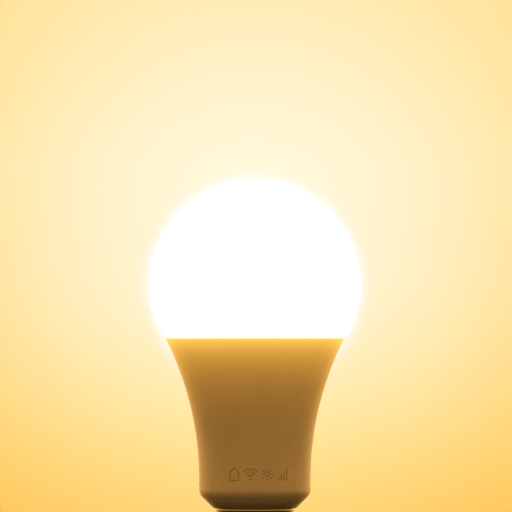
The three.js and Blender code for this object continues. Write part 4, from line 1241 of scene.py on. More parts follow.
@dataclass
class HeatSink:
    """The drawn aluminium cup under the lamp board, with the pad on it and the sealant round it."""

    inset: float = 1.7
    wall: float = 0.9
    bend: float = 0.8
    window: float = 1.1
    boss_radius: float = 2.65
    boss_depth: float = 3.2
    boss_root: float = 0.3
    boss_edge: float = 0.2
    hole: float = 1.55
    pad_hole: float = 1.7
    pad_edge: float = 0.1
    bead_width: float = 1.2
    bead_edge: float = 0.25
    bead_swells: tuple[tuple[int, float], ...] = ((9, 0.05), (23, 0.04))
    steps: int = 96

    def opening(self, low: float, high: float) -> Shape:
        """Makes the tool for the window that the driver, its pins and the module come up through."""
        strip, can, module = (Box.of(n) for n in ("driver_pin_strip", "wifi_shield_can", "wifi_board"))
        corner = (module.low.x - self.window, strip.low.y - self.window, low)
        return Shape.block(corner, (module.high.x + self.window, can.high.y + self.window, high))

    def cup(self, housing: Housing) -> Shape:
        """Makes the cup, which follows the housing's flare, with a boss for each screw."""
        box = Box.of("heat_sink_cup")
        under = box.high.z - self.wall
        inner = housing.flare(housing.flare_start, under, self.inset + self.wall, 16)
        outer = housing.flare(housing.flare_start, box.high.z, self.inset, 18)
        low_inner = (housing.neck_radius - self.inset - self.wall, box.low.z)
        low_outer = (housing.neck_radius - self.inset, box.low.z)
        bend = eased([outer[-2], outer[-1], (0.0, box.high.z)], self.bend)
        outline = [(0.0, under), *inner[::-1], low_inner, low_outer, *outer[:-2], *bend]
        boss_low, boss_high = under - self.boss_depth, under + self.boss_root
        tools = [Shape.rod(self.hole, boss_low - 1, box.high.z + 1, at) for at in screw_places()]
        cup = Shape.turned(outline, self.steps).cut(*tools, self.opening(under - 1, box.high.z + 1))
        bosses = [
            Shape.pipe(self.hole, self.boss_radius, boss_low, boss_high, at, self.boss_edge)
            for at in screw_places()
        ]
        return cup.joined(*bosses)

    def pad(self) -> Shape:
        """Makes the soft sheet between the cup and the board."""
        box = Box.of("thermal_pad")
        low, high = box.low.z - 1, box.high.z + 1
        holes = [Shape.rod(self.pad_hole, low, high, at) for at in screw_places()]
        sheet = Shape.rod(box.high.x, box.low.z, box.high.z, sides=self.steps, edge=self.pad_edge)
        return sheet.cut(*holes, self.opening(low, high))

    def sealant(self) -> Shape:
        """Makes the bead of sealant, squeezed out unevenly."""
        box = Box.of("sealant_ring")
        low, high, radius = box.low.z, box.high.z, box.high.x
        inner = radius - self.bead_width
        outline = [(inner, low), (radius, low), (radius, high), (inner, high)]
        most = sum(swell for _, swell in self.bead_swells)

        def squeezed(place: Vector) -> Vector:
            """Lowers the top by what the squeeze leaves at this angle."""
            angle = math.atan2(place.y, place.x)
            swells = enumerate(self.bead_swells)
            swell = sum(size * math.sin(waves * angle + i) for i, (waves, size) in swells)
            share = (place.z - low) / (high - low)
            return Vector((place.x, place.y, place.z + (swell - most) * share))

        return Shape.turned(eased(outline, self.bead_edge, ring=True), 144, ring=True).reshaped(squeezed)

    def build(self, housing: Housing) -> None:
        """Makes the three pieces."""
        Piece("drawn_heat_sink", "heat_sink").add(DRAWN_ALUMINIUM, self.cup(housing)).build("heat_sink_cup")
        Piece("soft_thermal_pad", "thermal_pad").add(PAD_RUBBER, self.pad()).build("thermal_pad")
        Piece("sealant_bead", "silicone").add(SEALANT, self.sealant()).build("sealant_ring")


# ---- Lamp board ----


class Glow(Enum):
    """The kinds of LED on the board: the name of their nodes and of their slot, and the fill of the well."""

    WARM = ("warm_led", tone("F5A93A"))
    COOL = ("cool_led", tone("F4E27C"))
    COLOUR = ("colour_led", tone("F1F0EA"))

    def __init__(self, label: str, fill: Colour) -> None:
        """Names the parts of each kind."""
        self.label = label
        self.fill = fill


@dataclass
class Led:
    """One LED package: a white frame round a filled well, with a tinned foot at each end."""

    length: float = 3.5
    width: float = 2.8
    height: float = 0.7
    notch: float = 0.6
    wall: float = 0.45
    well_slope: float = 0.12
    well_depth: float = 0.18
    edge: float = 0.05
    fill_sink: float = 0.06
    foot_length: float = 0.25
    foot_height: float = 0.2

    def frame(self, outline: Sequence[Point]) -> Shape:
        """Makes the frame, whose top steps down into the well."""
        frame = Shape.slab(outline, 0.0, self.height)
        top = max(frame.bm.faces, key=lambda face: face.calc_center_median().z)
        bmesh.ops.inset_region(frame.bm, faces=[top], thickness=self.wall, depth=0.0)
        bmesh.ops.inset_region(frame.bm, faces=[top], thickness=self.well_slope, depth=-self.well_depth)
        half = self.height / 2
        return frame.bevelled(self.edge, 1, lambda e: abs(e.verts[0].co.z - e.verts[1].co.z) > half)

    def feet(self, x: float, y: float) -> list[Shape]:
        """Makes a foot at each end, just past the frame."""
        size, reach = self.foot_length, y * 0.7
        ends = ((-0.98 * x - size, -0.98 * x + SKIN + size), (0.93 * x - size, 0.93 * x + SKIN))
        return [Shape.block((start, -reach, 0.0), (end, reach, self.foot_height)) for start, end in ends]

    def build(self, kind: Glow, index: int, ring: float, degrees: float, seat: float) -> None:
        """Makes the piece.

        Args:
            kind: the LED's colour.
            index: its number among its kind.
            ring: how far from the axis it stands.
            degrees: where on that ring.
            seat: the height of its underside.
        """
        x, y = self.length / 2, self.width / 2
        outline = [(-x, -y), (x, -y), (x, y - self.notch), (x - self.notch, y), (-x, y)]
        well = self.wall + 0.1
        inside = [(px * (1 - well / x), py * (1 - well / y)) for px, py in outline]
        fill = Shape.slab(inside, self.height - 0.3, self.height - self.fill_sink)
        at = on_ring(ring, degrees)
        frame, fill, *feet = (
            shape.rotated("Z", degrees + 90).moved(*at, seat)
            for shape in (self.frame(outline), fill, *self.feet(x, y))
        )
        phosphor = LedFill(f"{kind.label}_fill", kind.fill)
        piece = Piece(f"{kind.label}_{index}_package", kind.label)
        piece.add(LED_WHITE, frame).add(phosphor, fill).add(TINNED, *feet).build(f"{kind.label}_{index}")


@dataclass
class LampBoard:
    """The round metal-core board with its LEDs, screws and socket."""

    ring_inset: float = 5.6
    colour_inset: float = 14.1
    pairs: int = 8
    colour_degrees: tuple[int, ...] = (60, 120, 240, 300)
    copper: float = 0.035
    trace_half_deg: float = 5.6
    hole: float = 1.7
    screw_land: tuple[float, float] = (1.9, 2.9)
    test_land: float = 0.6
    test_degrees: tuple[int, ...] = (10, 80, 190, 260)
    test_inset: float = 2.2
    slot_room: float = 0.3
    pin_pitch: float = 2.54
    pins: int = 5
    pin_side: float = 0.64
    screw_shaft: float = 1.4
    thread_depth: float = 0.28
    thread_pitch: float = 0.44
    recess_half: tuple[float, float] = (1.6, 0.35)
    recess_depth: float = 1.1

    def __post_init__(self) -> None:
        """Reads the board from the frame."""
        self.box = Box.of("lamp_board")
        self.ring = self.box.high.x - self.ring_inset
        self.colour_ring = self.box.high.x - self.colour_inset
        self.pin_places = spread(self.pins, self.pin_pitch)

    def trace(self, radius: float, half: float, from_deg: float, to_deg: float) -> Shape:
        """Makes a raised stretch of copper round the board."""
        top = self.box.high.z
        steps = max(4, round(abs(to_deg - from_deg) / 3))
        outer = arc((0, 0), radius + half, from_deg, to_deg, steps)
        inner = arc((0, 0), radius - half, to_deg, from_deg, steps)
        return Shape.slab([*outer, *inner], top - SKIN, top + self.copper)

    def disc(self) -> Shape:
        """Makes the board with its holes, the module's slot and the pins' slot."""
        low, high = self.box.low.z, self.box.high.z
        module, strip, room = Box.of("wifi_board"), Box.of("lamp_board_socket"), self.slot_room
        holes = [Shape.rod(self.hole, low - 1, high + 1, at) for at in screw_places()]
        module_low = (module.low.x - room, module.low.y - room, low - 1)
        slot = Shape.block(module_low, (module.high.x + room, module.high.y + room, high + 1))
        half = self.pin_side / 2 + room
        reach, middle = self.pin_places[-1] + half, strip.centre.y
        pins = Shape.block((-reach, middle - half, low - 1), (reach, middle + half, high + 1))
        return Shape.rod(self.box.high.x, low, high, sides=128, edge=0.15).cut(*holes, slot, pins)

    def board(self) -> None:
        """Makes the board, its copper under the white mask, and bare tinned lands."""
        low, high = self.box.high.z - SKIN, self.box.high.z + SKIN
        count = 2 * self.pairs
        half = self.trace_half_deg
        # One stretch of copper joins each LED to the next, under the mask.
        middles = [360 / count * i for i in range(count)]
        traces = [self.trace(self.ring, 1.1, middle - half, middle + half) for middle in middles]
        traces += [self.trace(self.colour_ring, 0.8, start + 10, start + 50) for start in (60, 240)]
        lands = [Shape.pipe(*self.screw_land, low, high, at) for at in screw_places()]
        edge = self.box.high.x - self.test_inset
        lands += [Shape.rod(self.test_land, low, high, on_ring(edge, turn)) for turn in self.test_degrees]
        piece = Piece("white_lamp_board", "lamp_board").add(WHITE_MASK, self.disc(), *traces)
        piece.add(TINNED, *lands).build("lamp_board")

    def screw(self, index: int) -> None:
        """Makes one pan-head screw with a cross recess and rolled threads."""
        node = f"lamp_board_screw_{index}"
        box, shaft = Box.of(node), self.screw_shaft
        seat = self.box.high.z + SEAT_GAP
        rise, radius = box.high.z - seat, box.size.x / 2
        first, step = box.low.z + 0.6, self.thread_pitch / 2
        crests = [(shaft - (self.thread_depth if i % 2 else 0.0), first + step * i) for i in range(18)]
        head = arc((radius - rise, seat), rise, 0, 90, 8)
        outline = [(0.0, box.low.z), (0.6, box.low.z), *crests, (shaft, seat), *head, (0.0, box.high.z)]
        body = Shape.turned(outline, 32).moved(0, 0, -box.high.z)
        x, y = self.recess_half
        low = (-x, -y, -self.recess_depth)
        bars = [Shape.block(low, (x, y, 1)).rotated("Z", turn) for turn in (45, 135)]
        body = body.cut(*bars).moved(*box.centre.xy, box.high.z)
        Piece(f"board_screw_{index}", "screw_steel").add(SCREW_STEEL, body).build(node)

    def socket(self) -> None:
        """Makes the socket that the driver's pins push into."""
        box = Box.of("lamp_board_socket")
        half, middle, places = self.pin_side / 2 + 0.15, box.centre.y, self.pin_places
        front, low, high = box.low.y, box.low.z, box.high.z
        holes = Shape.row(places, half, (middle - half, middle + half), (low - 1, high + 1))
        feet = Shape.row(places, 0.3, (front - 0.55, front + 0.1), (low, low + 0.25), 0.05)
        body = Shape.block(box.low, box.high, 0.15).cut(*holes)
        piece = Piece("pin_socket", "connector_plastic").add(CONNECTOR_WHITE, body)
        piece.add(TINNED, *feet).build("lamp_board_socket")

    def build(self) -> None:
        """Makes the board and everything on it."""
        self.board()
        led, seat = Led(), self.box.high.z + SEAT_GAP
        step = 180 / self.pairs
        for pair in range(self.pairs):
            for turn, kind in enumerate((Glow.WARM, Glow.COOL)):
                led.build(kind, pair + 1, self.ring, (2 * pair + turn + 0.5) * step, seat)
        for i, degrees in enumerate(self.colour_degrees):
            led.build(Glow.COLOUR, i + 1, self.colour_ring, degrees, seat)
        for index in (1, 2, 3):
            self.screw(index)
        self.socket()


# ---- Wireless module ----


@dataclass
class WirelessModule:
    """The upright module: its board with a printed aerial, its shield can and its header."""

    trace: float = 0.5
    copper: float = 0.05
    meanders: int = 6
    aerial_margin: float = 1.5
    aerial_drop: tuple[float, float] = (1.0, 4.6)
    land_margin: float = 1.6
    land_pitch: float = 2.55
    land_half: float = 0.45
    header_pins: int = 6
    pin_half: float = 0.3
    can_edge: float = 0.35
    panel_margin: tuple[float, float] = (1.5, 1.2)
    vent_radius: float = 0.3
    vent_pitch: float = 3.2
    vent_inset: float = 2.6
    capacitor_rises: tuple[tuple[float, float], ...] = ((-6.9, 5), (-6.9, 7), (6.9, 4), (6.9, 8))

    def aerial(self, box: Box) -> list[Shape]:
        """Makes the aerial, a copper strip that runs to and fro near the board's top."""
        high, low = (box.high.z - drop for drop in self.aerial_drop)
        first = box.low.x + self.aerial_margin
        step = (box.size.x - 2 * self.aerial_margin) / self.meanders
        half = self.trace / 2
        back, front = box.high.y - SKIN, box.high.y + self.copper
        strips = []
        for i in range(self.meanders + 1):
            x = first + i * step
            strips.append(Shape.block((x - half, back, low), (x + half, front, high)))
            if i < self.meanders:
                z = low + self.trace if i % 2 else high
                strips.append(Shape.block((x, back, z - self.trace), (x + step, front, z)))
        return strips

    def board(self) -> None:
        """Makes the board, its aerial, the lands along its foot and its small capacitors."""
        box = Box.of("wifi_board")
        front, foot = box.high.y, box.low.z
        places = [box.low.x + self.land_margin + self.land_pitch * i for i in range(self.header_pins)]
        lands = Shape.row(places, self.land_half, (box.low.y - SKIN, front + 0.03), (foot, foot + 0.9))
        capacitors = []
        for x, rise in self.capacitor_rises:
            z = foot + rise
            capacitors += Shape.row([x], 0.5, (front - SKIN, front + 0.45), (z - 0.25, z + 0.25), 0.06)
        piece = Piece("module_board", "module_board").add(BLUE_MASK, Shape.block(box.low, box.high, 0.08, 1))
        piece.add(GOLD, *self.aerial(box), *lands).add(CERAMIC, *capacitors).build("wifi_board")

    def shield(self) -> None:
        """Makes the drawn can, with a pressed panel and vent holes."""
        box = Box.of("wifi_shield_can")
        across, up = self.panel_margin
        front = box.high.y
        low = (box.low.x + across, front - 0.12, box.low.z + up)
        panel = Shape.block(low, (box.high.x - across, front + 1, box.high.z - up))
        vents = [
            Shape.rod(self.vent_radius, -1, 1, sides=12).rotated("X", 90).moved(x, front, z)
            for x in spread(3, self.vent_pitch)
            for z in (box.low.z + self.vent_inset, box.high.z - self.vent_inset)
        ]
        can = Shape.block(box.low, box.high, self.can_edge, 3).cut(panel, *vents)
        Piece("shield_can", "shield_steel").add(SHIELD_STEEL, can).build("wifi_shield_can")

    def header(self) -> None:
        """Makes the bar that holds the module on the driver's board, with its pins."""
        box = Box.of("wifi_header")
        depth, rise = (box.low.y - 0.03, box.high.y + 0.03), (box.low.z - 0.4, box.low.z + 0.8)
        places = spread(self.header_pins, box.size.x / self.header_pins, box.centre.x)
        pins = Shape.row(places, self.pin_half, depth, rise)
        bar = Shape.block(box.low, box.high, 0.12, 1)
        piece = Piece("module_header", "black_plastic").add(BLACK_MOULDED, bar)
        piece.add(GOLD, *pins).build("wifi_header")

    def build(self) -> None:
        """Makes the three pieces."""
        self.board()
        self.shield()
        self.header()


# ---- Driver ----

CANS = {"bulk_capacitor": "bulk_can", "supply_capacitor": "supply_can", "output_capacitor": "output_can"}

# How far each of a part's two leads stands from its middle.
LEAD_REACH = {
    "bulk_capacitor": 2.5, "supply_capacitor": 1.0, "output_capacitor": 1.75, "film_capacitor": 3.75,
    "varistor": 2.5, "line_choke": 2.5,
}

# The board's copper tracks: the middle along X, the face, and the heights between which they run.
TRACKS = (
    (-10.5, 1, 44, 58), (-6.0, -1, 37, 43), (10.5, -1, 42, 50), (2.0, 1, 48, 68), (-1.0, -1, 52, 72),
    (4.0, -1, 19, 33), (-3.0, -1, 19, 33), (0.5, 1, 30, 44),
)


@dataclass
class Driver:
    """The upright driver board with its parts, in their insulating sleeve, and the two leads."""

    board_half: float = 0.8
    tongue_half: float = 7.25
    copper: float = 0.03
    sleeve_inset: float = 2.9
    sleeve_wall: float = 0.9
    lead: float = 0.3
    lead_drop: float = 0.9
    foot_reach: float = 0.9
    rail_low: float = 1.0
    rail_length: float = 22.0
    rail_width: float = 1.0
    core_leg: float = 1.5
    core_window: float = 2.5
    core_yoke: float = 2.0
    bobbin_wire: float = 0.22
    choke_turns: int = 13
    pin_tail: float = 1.5
    pin_bar: float = 2.5
    live_radius: float = 0.55
    neutral_radius: float = 0.4
    neutral_notch: float = 10.9
    neutral_stub: float = 11.0

    def __post_init__(self) -> None:
        """Reads the board from the frame."""
        self.box = Box.of("driver_board")
        self.wide_foot = Box.of("driver_sleeve").low.z + 0.5

    def board(self) -> None:
        """Makes the board: a broad body, a tongue, tracks, tinned edge pads and solder joints."""
        low, high, x, y = self.box.low.z, self.box.high.z, self.box.high.x, self.board_half
        t, foot, skin = self.tongue_half, self.wide_foot, y + self.copper
        outline = [(-t, low), (t, low), (t, foot), (x, foot), (x, high), (-x, high), (-x, foot), (-t, foot)]
        body = Shape.slab(outline, -y, y).rotated("X", 90)
        pads = Shape.row((-3.2, 4.0), 1.0, (-skin, skin), (low + 1.2, low + 4.6), 0.02)
        joints = [self.joint(*place) for place in self.solder_places()]
        tracks = []
        for middle, side, *rise in TRACKS:
            tracks += Shape.row([middle], 0.5, (side * y - self.copper, side * y + self.copper), rise)
        piece = Piece("driver_circuit_board", "driver_board").add(GREEN_MASK, body, *tracks)
        piece.add(SOLDER, *pads, *joints).build("driver_board")

    def solder_places(self) -> list[tuple[float, float, int]]:
        """Places the solder joints: (x, z, side), on the side away from each leaded part."""
        places = []
        for node, reach in LEAD_REACH.items():
            box = Box.of(node)
            side = 1 if box.centre.y > 0 else -1
            foot = box.low.z - self.lead_drop if node in CANS else box.centre.z
            places += [(box.centre.x + x, foot, -side) for x in (-reach, reach)]
        core = Box.of("transformer_core")
        ends = (core.low.z + 1.2, core.high.z - 1.2)
        places += [(x, z, 1) for x in spread(3, 3.0, core.centre.x) for z in ends]
        return places

    def joint(self, x: float, z: float, side: int) -> Shape:
        """Makes one cone of solder on a face of the board."""
        outline = [(0.0, -SKIN), (0.75, -SKIN), (0.68, 0.1), (0.32, 0.45), (0.2, 0.75), (0.0, 0.8)]
        cone = Shape.turned(eased(outline, 0.1, 2), 16).rotated("X", 90 if side < 0 else -90)
        return cone.moved(x, side * self.board_half, z)

    def capacitor(self, node: str, name: str) -> None:
        """Makes a radial can: a printed sleeve with a groove, a scored top, a bung and two leads."""
        box = Box.of(node)
        radius, tall = box.size.x / 2, box.size.z
        mouth, rim, groove, sunk = radius * 0.82, radius * 0.84, radius * 0.88, tall - 0.25
        sleeve = [
            (mouth, 0.0), (radius, 0.15), (radius, tall * 0.09), (groove, tall * 0.13),
            (radius, tall * 0.17), (radius, tall - 0.3), (rim, tall), (rim, sunk), (0.0, sunk),
            (0.0, 0.3), (mouth, 0.3),
        ]
        top = Shape.rod(radius * 0.83, tall - 0.5, tall - 0.12, sides=40, edge=0.1)
        score = radius * 0.6
        scores = [
            Shape.block((-score, -0.1, tall - 0.22), (score, 0.1, tall + 1)).rotated("Z", turn)
            for turn in (0, 90)
        ]
        bung = Shape.rod(radius * 0.8, 0.05, 0.6, sides=32, edge=0.15)
        side = 1 if box.centre.y > 0 else -1
        board, drop, reach = side * self.board_half - box.centre.y, -self.lead_drop, LEAD_REACH[node]
        leads = [
            Shape.wire([(x, 0, 0.4), (x, 0, -0.5), (x, board * 0.25, drop), (x, board, drop)], self.lead)
            for x in (-reach, reach)
        ]
        bow = [*arc((0, 0), radius + 0.03, -106, -74, 8), *arc((0, 0), radius - 0.3, -74, -106, 8)]
        stripe = Shape.slab(bow, tall * 0.2, tall * 0.94)
        piece = Piece(name, "capacitor_sleeve", (box.centre.x, box.centre.y, box.low.z))
        piece.add(SLEEVE_BLUE, Shape.turned(sleeve, 48)).add(STRIPE_GREY, stripe)
        piece.add(DRAWN_ALUMINIUM, top.cut(*scores)).add(BLACK_MOULDED, bung).add(TINNED, *leads).build(node)

    def choke(self) -> None:
        """Makes the drum choke: a ferrite drum with its enamelled winding."""
        box = Box.of("line_choke")
        radius, depth = box.size.x / 2, box.size.y
        low, high, waist, root = depth * 0.15, depth * 0.85, radius * 0.5, radius * 0.45
        drum = [
            (0.0, 0.0), (radius, 0.0), (radius, low), (waist, low), (waist, high), (radius, high),
            (radius, depth), (0.0, depth),
        ]
        pitch = (high - low) / self.choke_turns
        half = pitch / 2
        coil = [(root, low)]
        for i in range(self.choke_turns):
            coil += arc((radius * 0.88 - half, low + pitch * (i + 0.5)), half, -80, 80, 4)
        coil.append((root, high))
        core = Shape.turned(eased(drum, 0.2), 40).rotated("X", 90)
        winding = Shape.turned(coil, 40, ring=True).rotated("X", 90)
        piece = Piece("wound_choke", "copper_winding", (box.centre.x, box.high.y, box.centre.z))
        piece.add(FERRITE, core).add(COPPER, winding).build("line_choke")

    def core(self) -> None:
        """Makes the transformer's ferrite core, with a window on each side of its middle leg."""
        box = Box.of("transformer_core")
        half, leg, window = box.size / 2, self.core_leg, self.core_window
        y, z = half.y + 1, half.z - self.core_yoke
        windows = [Shape.block((x, -y, -z), (x + window, y, z)) for x in (leg, -leg - window)]
        body = Shape.block(-half, half, 0.25).cut(*windows)
        Piece("ferrite_core", "ferrite", box.centre).add(FERRITE, body).build("transformer_core")

    def bobbin(self) -> None:
        """Makes the bobbin round the core's middle leg, with its layers of wire, its tape and its pins."""
        box, core = Box.of("transformer_bobbin"), Box.of("transformer_core")
        reach, depth, tall = box.size / 2
        leg, deep = self.core_leg + 0.15, core.size.y / 2 + 0.15
        bore = Shape.block((-leg, -deep, -tall - 1), (leg, deep, tall + 1))
        flanges = [
            Shape.block((-reach, -depth, z), (reach, depth, z + 0.8), 0.15, 1).cut(bore)
            for z in (-tall, tall - 0.8)
        ]
        x, y, corner, radius = reach - 0.35, depth - 0.75, 0.8, self.bobbin_wire
        near, far = x - corner, y - corner
        loop = [(x, -far), (x, far), (near, y), (-near, y), (-x, far), (-x, -far), (-near, -y), (near, -y)]
        rows = int((2 * tall - 1.8) / (2 * radius))
        heights = [-tall + 0.9 + radius * (2 * i + 1) for i in range(rows)]
        coils = [
            Shape.wire([(*place, z) for place in loop], radius, closed=True, smooth=3, sides=1)
            for z in heights
        ]
        inner = Shape.block((-x, -y, -tall + 0.7), (x, y, tall - 0.7), 0.3, 2).cut(bore)
        across, along = x + 0.26, y + 0.26
        tape = Shape.block((-across, -along, -1.4), (across, along, 1.4), 0.7, 4)
        tape = tape.cut(Shape.block((-x, -y, -2), (x, y, 2)))
        pins = []
        for z in (-tall + 0.4, tall - 0.4):
            pins += Shape.row(spread(3, 2.4), 0.25, (depth - 0.6, depth), (z - 0.25, z + 0.25))
        piece = Piece("wound_bobbin", "copper_winding", box.centre)
        piece.add(BLACK_MOULDED, *flanges).add(COPPER, inner, *coils)
        piece.add(YELLOW_TAPE, tape).add(TINNED, *pins).build("transformer_bobbin")

    def film_capacitor(self) -> None:
        """Makes the boxed film capacitor, with a tinned step low against the board."""
        low, high = Box.of("film_capacitor").low, Box.of("film_capacitor").high
        step = Shape.block((low.x + 1, low.y, low.z + 0.6), (high.x - 1, low.y + 0.3, low.z + 2))
        piece = Piece("film_capacitor_box", "film_capacitor_box")
        piece.add(YELLOW_BOX, Shape.block(low, high, 0.5, 3)).add(SOLDER, step).build("film_capacitor")

    def resistor(self) -> None:
        """Makes the fusible resistor with its bands."""
        box = Box.of("fusible_resistor")
        radius, tall = box.size.x / 2, box.size.z
        end, waist = radius * 0.8, radius * 0.86
        outline = [
            (0.0, 0.0), (end, 0.1), (radius, 0.8), (radius, 1.8), (waist, 2.4), (waist, tall - 2.4),
            (radius, tall - 1.8), (radius, tall - 0.8), (end, tall - 0.1), (0.0, tall),
        ]
        piece = Piece("banded_resistor", "resistor_coat", (box.centre.x, box.centre.y, box.low.z))
        piece.add(RESISTOR_GREEN, Shape.turned(eased(outline, 0.5), 32))
        band = waist + 0.04
        for i, shade in enumerate((BAND_BROWN, BAND_BLACK, BAND_BROWN, BAND_GOLD)):
            low = tall * (0.3 + 0.12 * i)
            piece.add(shade, Shape.pipe(band - 0.3, band, low, low + 0.55))
        piece.build("fusible_resistor")

    def varistor(self) -> None:
        """Makes the dipped disc of the varistor and its two leads."""
        box = Box.of("varistor")
        radius, deep, low, middle = box.size.x / 2, box.size.y, box.low.z, box.centre
        rim = radius - 0.7
        disc = [(0.0, 0.0), (rim, 0.0), (radius, deep * 0.5), (rim, deep), (0.0, deep)]
        body = Shape.turned(eased(disc, 0.9, 5), 40).rotated("X", 90).moved(middle.x, box.high.y, middle.z)
        leads = []
        for side in (-1, 1):
            top, foot = middle.x + side * 1.6, middle.x + side * 1.7
            y = middle.y
            path = [(top, y, low + 0.8), (foot, y, low - 0.3), (foot, -self.board_half, low - 0.7)]
            leads.append(Shape.wire(path, self.lead))
        piece = Piece("varistor_disc", "varistor_coat").add(VARISTOR_BLUE, body)
        piece.add(TINNED, *leads).build("varistor")

    def inductor(self) -> None:
        """Makes the moulded inductor with its tinned ends."""
        low, high = Box.of("supply_inductor").low, Box.of("supply_inductor").high
        depth, rise = (low.y, low.y + 1.2), (low.z + 0.4, high.z - 0.4)
        ends = Shape.row((low.x + 0.17, high.x - 0.17), 0.2, depth, rise, 0.05)
        piece = Piece("moulded_inductor", "ferrite").add(FERRITE, Shape.block(low, high, 0.3, 2))
        piece.add(TINNED, *ends).build("supply_inductor")

    def chip(self, node: str, name: str, feet: int) -> None:
        """Makes a chip package: a body with a dimple, and bent feet."""
        box = Box.of(node)
        face, top = box.low.y, box.high.y
        low, high = box.low.z + self.foot_reach, box.high.z - self.foot_reach
        body = Shape.block((box.low.x, face + 0.1, low), (box.high.x, top, high), 0.12, 2)
        dimple = Shape.rod(0.3, -0.1, 0.5, sides=16).rotated("X", 90).moved(box.low.x + 0.8, top, low + 0.8)
        pitch, middle, sole = box.size.x / feet, (face + top) / 2, face + 0.12
        places, half = spread(feet, pitch, box.centre.x), pitch / 5
        legs = []
        for end, out in ((low, -1), (high, 1)):
            bends = ((-0.2, middle), (0.35, middle), (0.45, sole), (0.86, sole))
            line = [(end + out * reach, y) for reach, y in bends]
            for bend in zip(line, line[1:]):
                (z0, z1), (y0, y1) = map(sorted, zip(*bend))
                legs += Shape.row(places, half, (y0 - 0.08, y1 + 0.08), (z0 - 0.04, z1 + 0.04))
        Piece(name, "black_plastic").add(BLACK_MOULDED, body.cut(dimple)).add(TINNED, *legs).build(node)

    def sleeve(self, housing: Housing) -> None:
        """Makes the insulating sleeve, with rails on both faces of the board's edges."""
        box = Box.of("driver_sleeve")
        low, high = box.low.z, box.high.z - 0.3
        outer, inner = (
            [(housing.neck_radius - inset, low), *housing.flare(housing.flare_start, high, inset, 16)]
            for inset in (self.sleeve_inset, self.sleeve_inset + self.sleeve_wall)
        )
        tube = Shape.turned(eased([*outer, *inner[::-1]], 0.2, 2, ring=True), 96, ring=True)
        rails = []
        bore, near, foot = inner[0][0] + 0.4, self.board_half + 0.3, self.wide_foot + self.rail_low
        for side in (-1, 1):
            x0, x1 = sorted((side * (self.box.high.x - 1.0), side * bore))
            for face in (-1, 1):
                y0, y1 = sorted((face * near, face * (near + self.rail_width)))
                rails.append(Shape.block((x0, y0, foot), (x1, y1, foot + self.rail_length), 0.12, 1))
        Piece("insulating_sleeve", "sleeve_plastic").add(SLEEVE_WHITE, tube, *rails).build("driver_sleeve")

    def pin_strip(self, lamp_board: LampBoard) -> None:
        """Makes the pin strip, a plastic bar notched between its square pins."""
        box, y = Box.of("driver_pin_strip"), Box.of("lamp_board_socket").centre.y
        half, low = lamp_board.pin_side / 2, box.low.z + self.pin_tail
        high = low + self.pin_bar
        body = Shape.block((box.low.x, box.low.y, low), (box.high.x, box.high.y, high), 0.15, 1)
        gaps, notches = spread(lamp_board.pins - 1, lamp_board.pin_pitch), []
        for edge in (box.low.y, box.high.y):
            notches += Shape.row(gaps, 0.2, (edge - 0.25, edge + 0.25), (low - 1, high + 1))
        rise = (box.low.z, box.high.z)
        pins = Shape.row(lamp_board.pin_places, half, (y - half, y + half), rise, 0.14)
        piece = Piece("driver_pins", "connector_plastic").add(BLACK_MOULDED, body.cut(*notches))
        piece.add(GOLD, *pins).build("driver_pin_strip")

    def live_lead(self) -> None:
        """Makes the live lead, from the centre contact to the board."""
        box, radius = Box.of("live_lead"), self.live_radius
        y, low, high = -self.board_half - 0.3 - radius, box.low.z, box.high.z
        path = [
            (0, 0, low + 0.02), (0, 0, low + 1.2), (-1.6, y * 0.6, low + 2.9), (-3, y, self.box.low.z + 1.2),
            (-3, y, high),
        ]
        coat, core = Shape.wire([*path[1:4], (-3, y, high - 2)], radius), Shape.wire(path, radius * 0.6)
        Piece("red_live_lead", "lead_red").add(LEAD_RED, coat).add(TINNED, core).build("live_lead")

    def neutral_lead(self) -> None:
        """Makes the neutral lead, from the board to the notch in the housing's stub."""
        high, radius = Box.of("neutral_lead").high.z, self.neutral_radius
        notch, stub = self.neutral_notch, self.neutral_stub
        y, under = -self.board_half - 0.3 - radius, stub - 0.3 - radius
        path = [
            (4, y, high), (4, y, self.box.low.z + 1), (5.4, y * 0.8, under + 0.4),
            (8.25, y * 0.3, under - 0.5), (notch - 0.9, 0, under - 0.45), (notch - 0.1, 0, under + 0.3),
            (notch, 0, stub + 2), (notch, 0, stub + 7),
        ]
        coat, core = Shape.wire([(4, y, high - 2), *path[1:6]], radius), Shape.wire(path, radius * 0.6)
        piece = Piece("black_neutral_lead", "lead_black").add(LEAD_BLACK, coat)
        piece.add(TINNED, core).build("neutral_lead")

    def build(self, housing: Housing, lamp_board: LampBoard) -> None:
        """Makes the board, its parts, the sleeve and the leads."""
        self.board()
        for node, name in CANS.items():
            self.capacitor(node, name)
        self.choke()
        self.core()
        self.bobbin()
        self.film_capacitor()
        self.resistor()
        self.varistor()
        self.inductor()
        self.chip("driver_chip", "driver_chip_package", 4)
        self.chip("bridge_rectifier", "bridge_package", 2)
        self.chip("supply_chip", "supply_chip_package", 3)
        self.sleeve(housing)
        self.pin_strip(lamp_board)
        self.live_lead()
        self.neutral_lead()


# ---- Studio ----


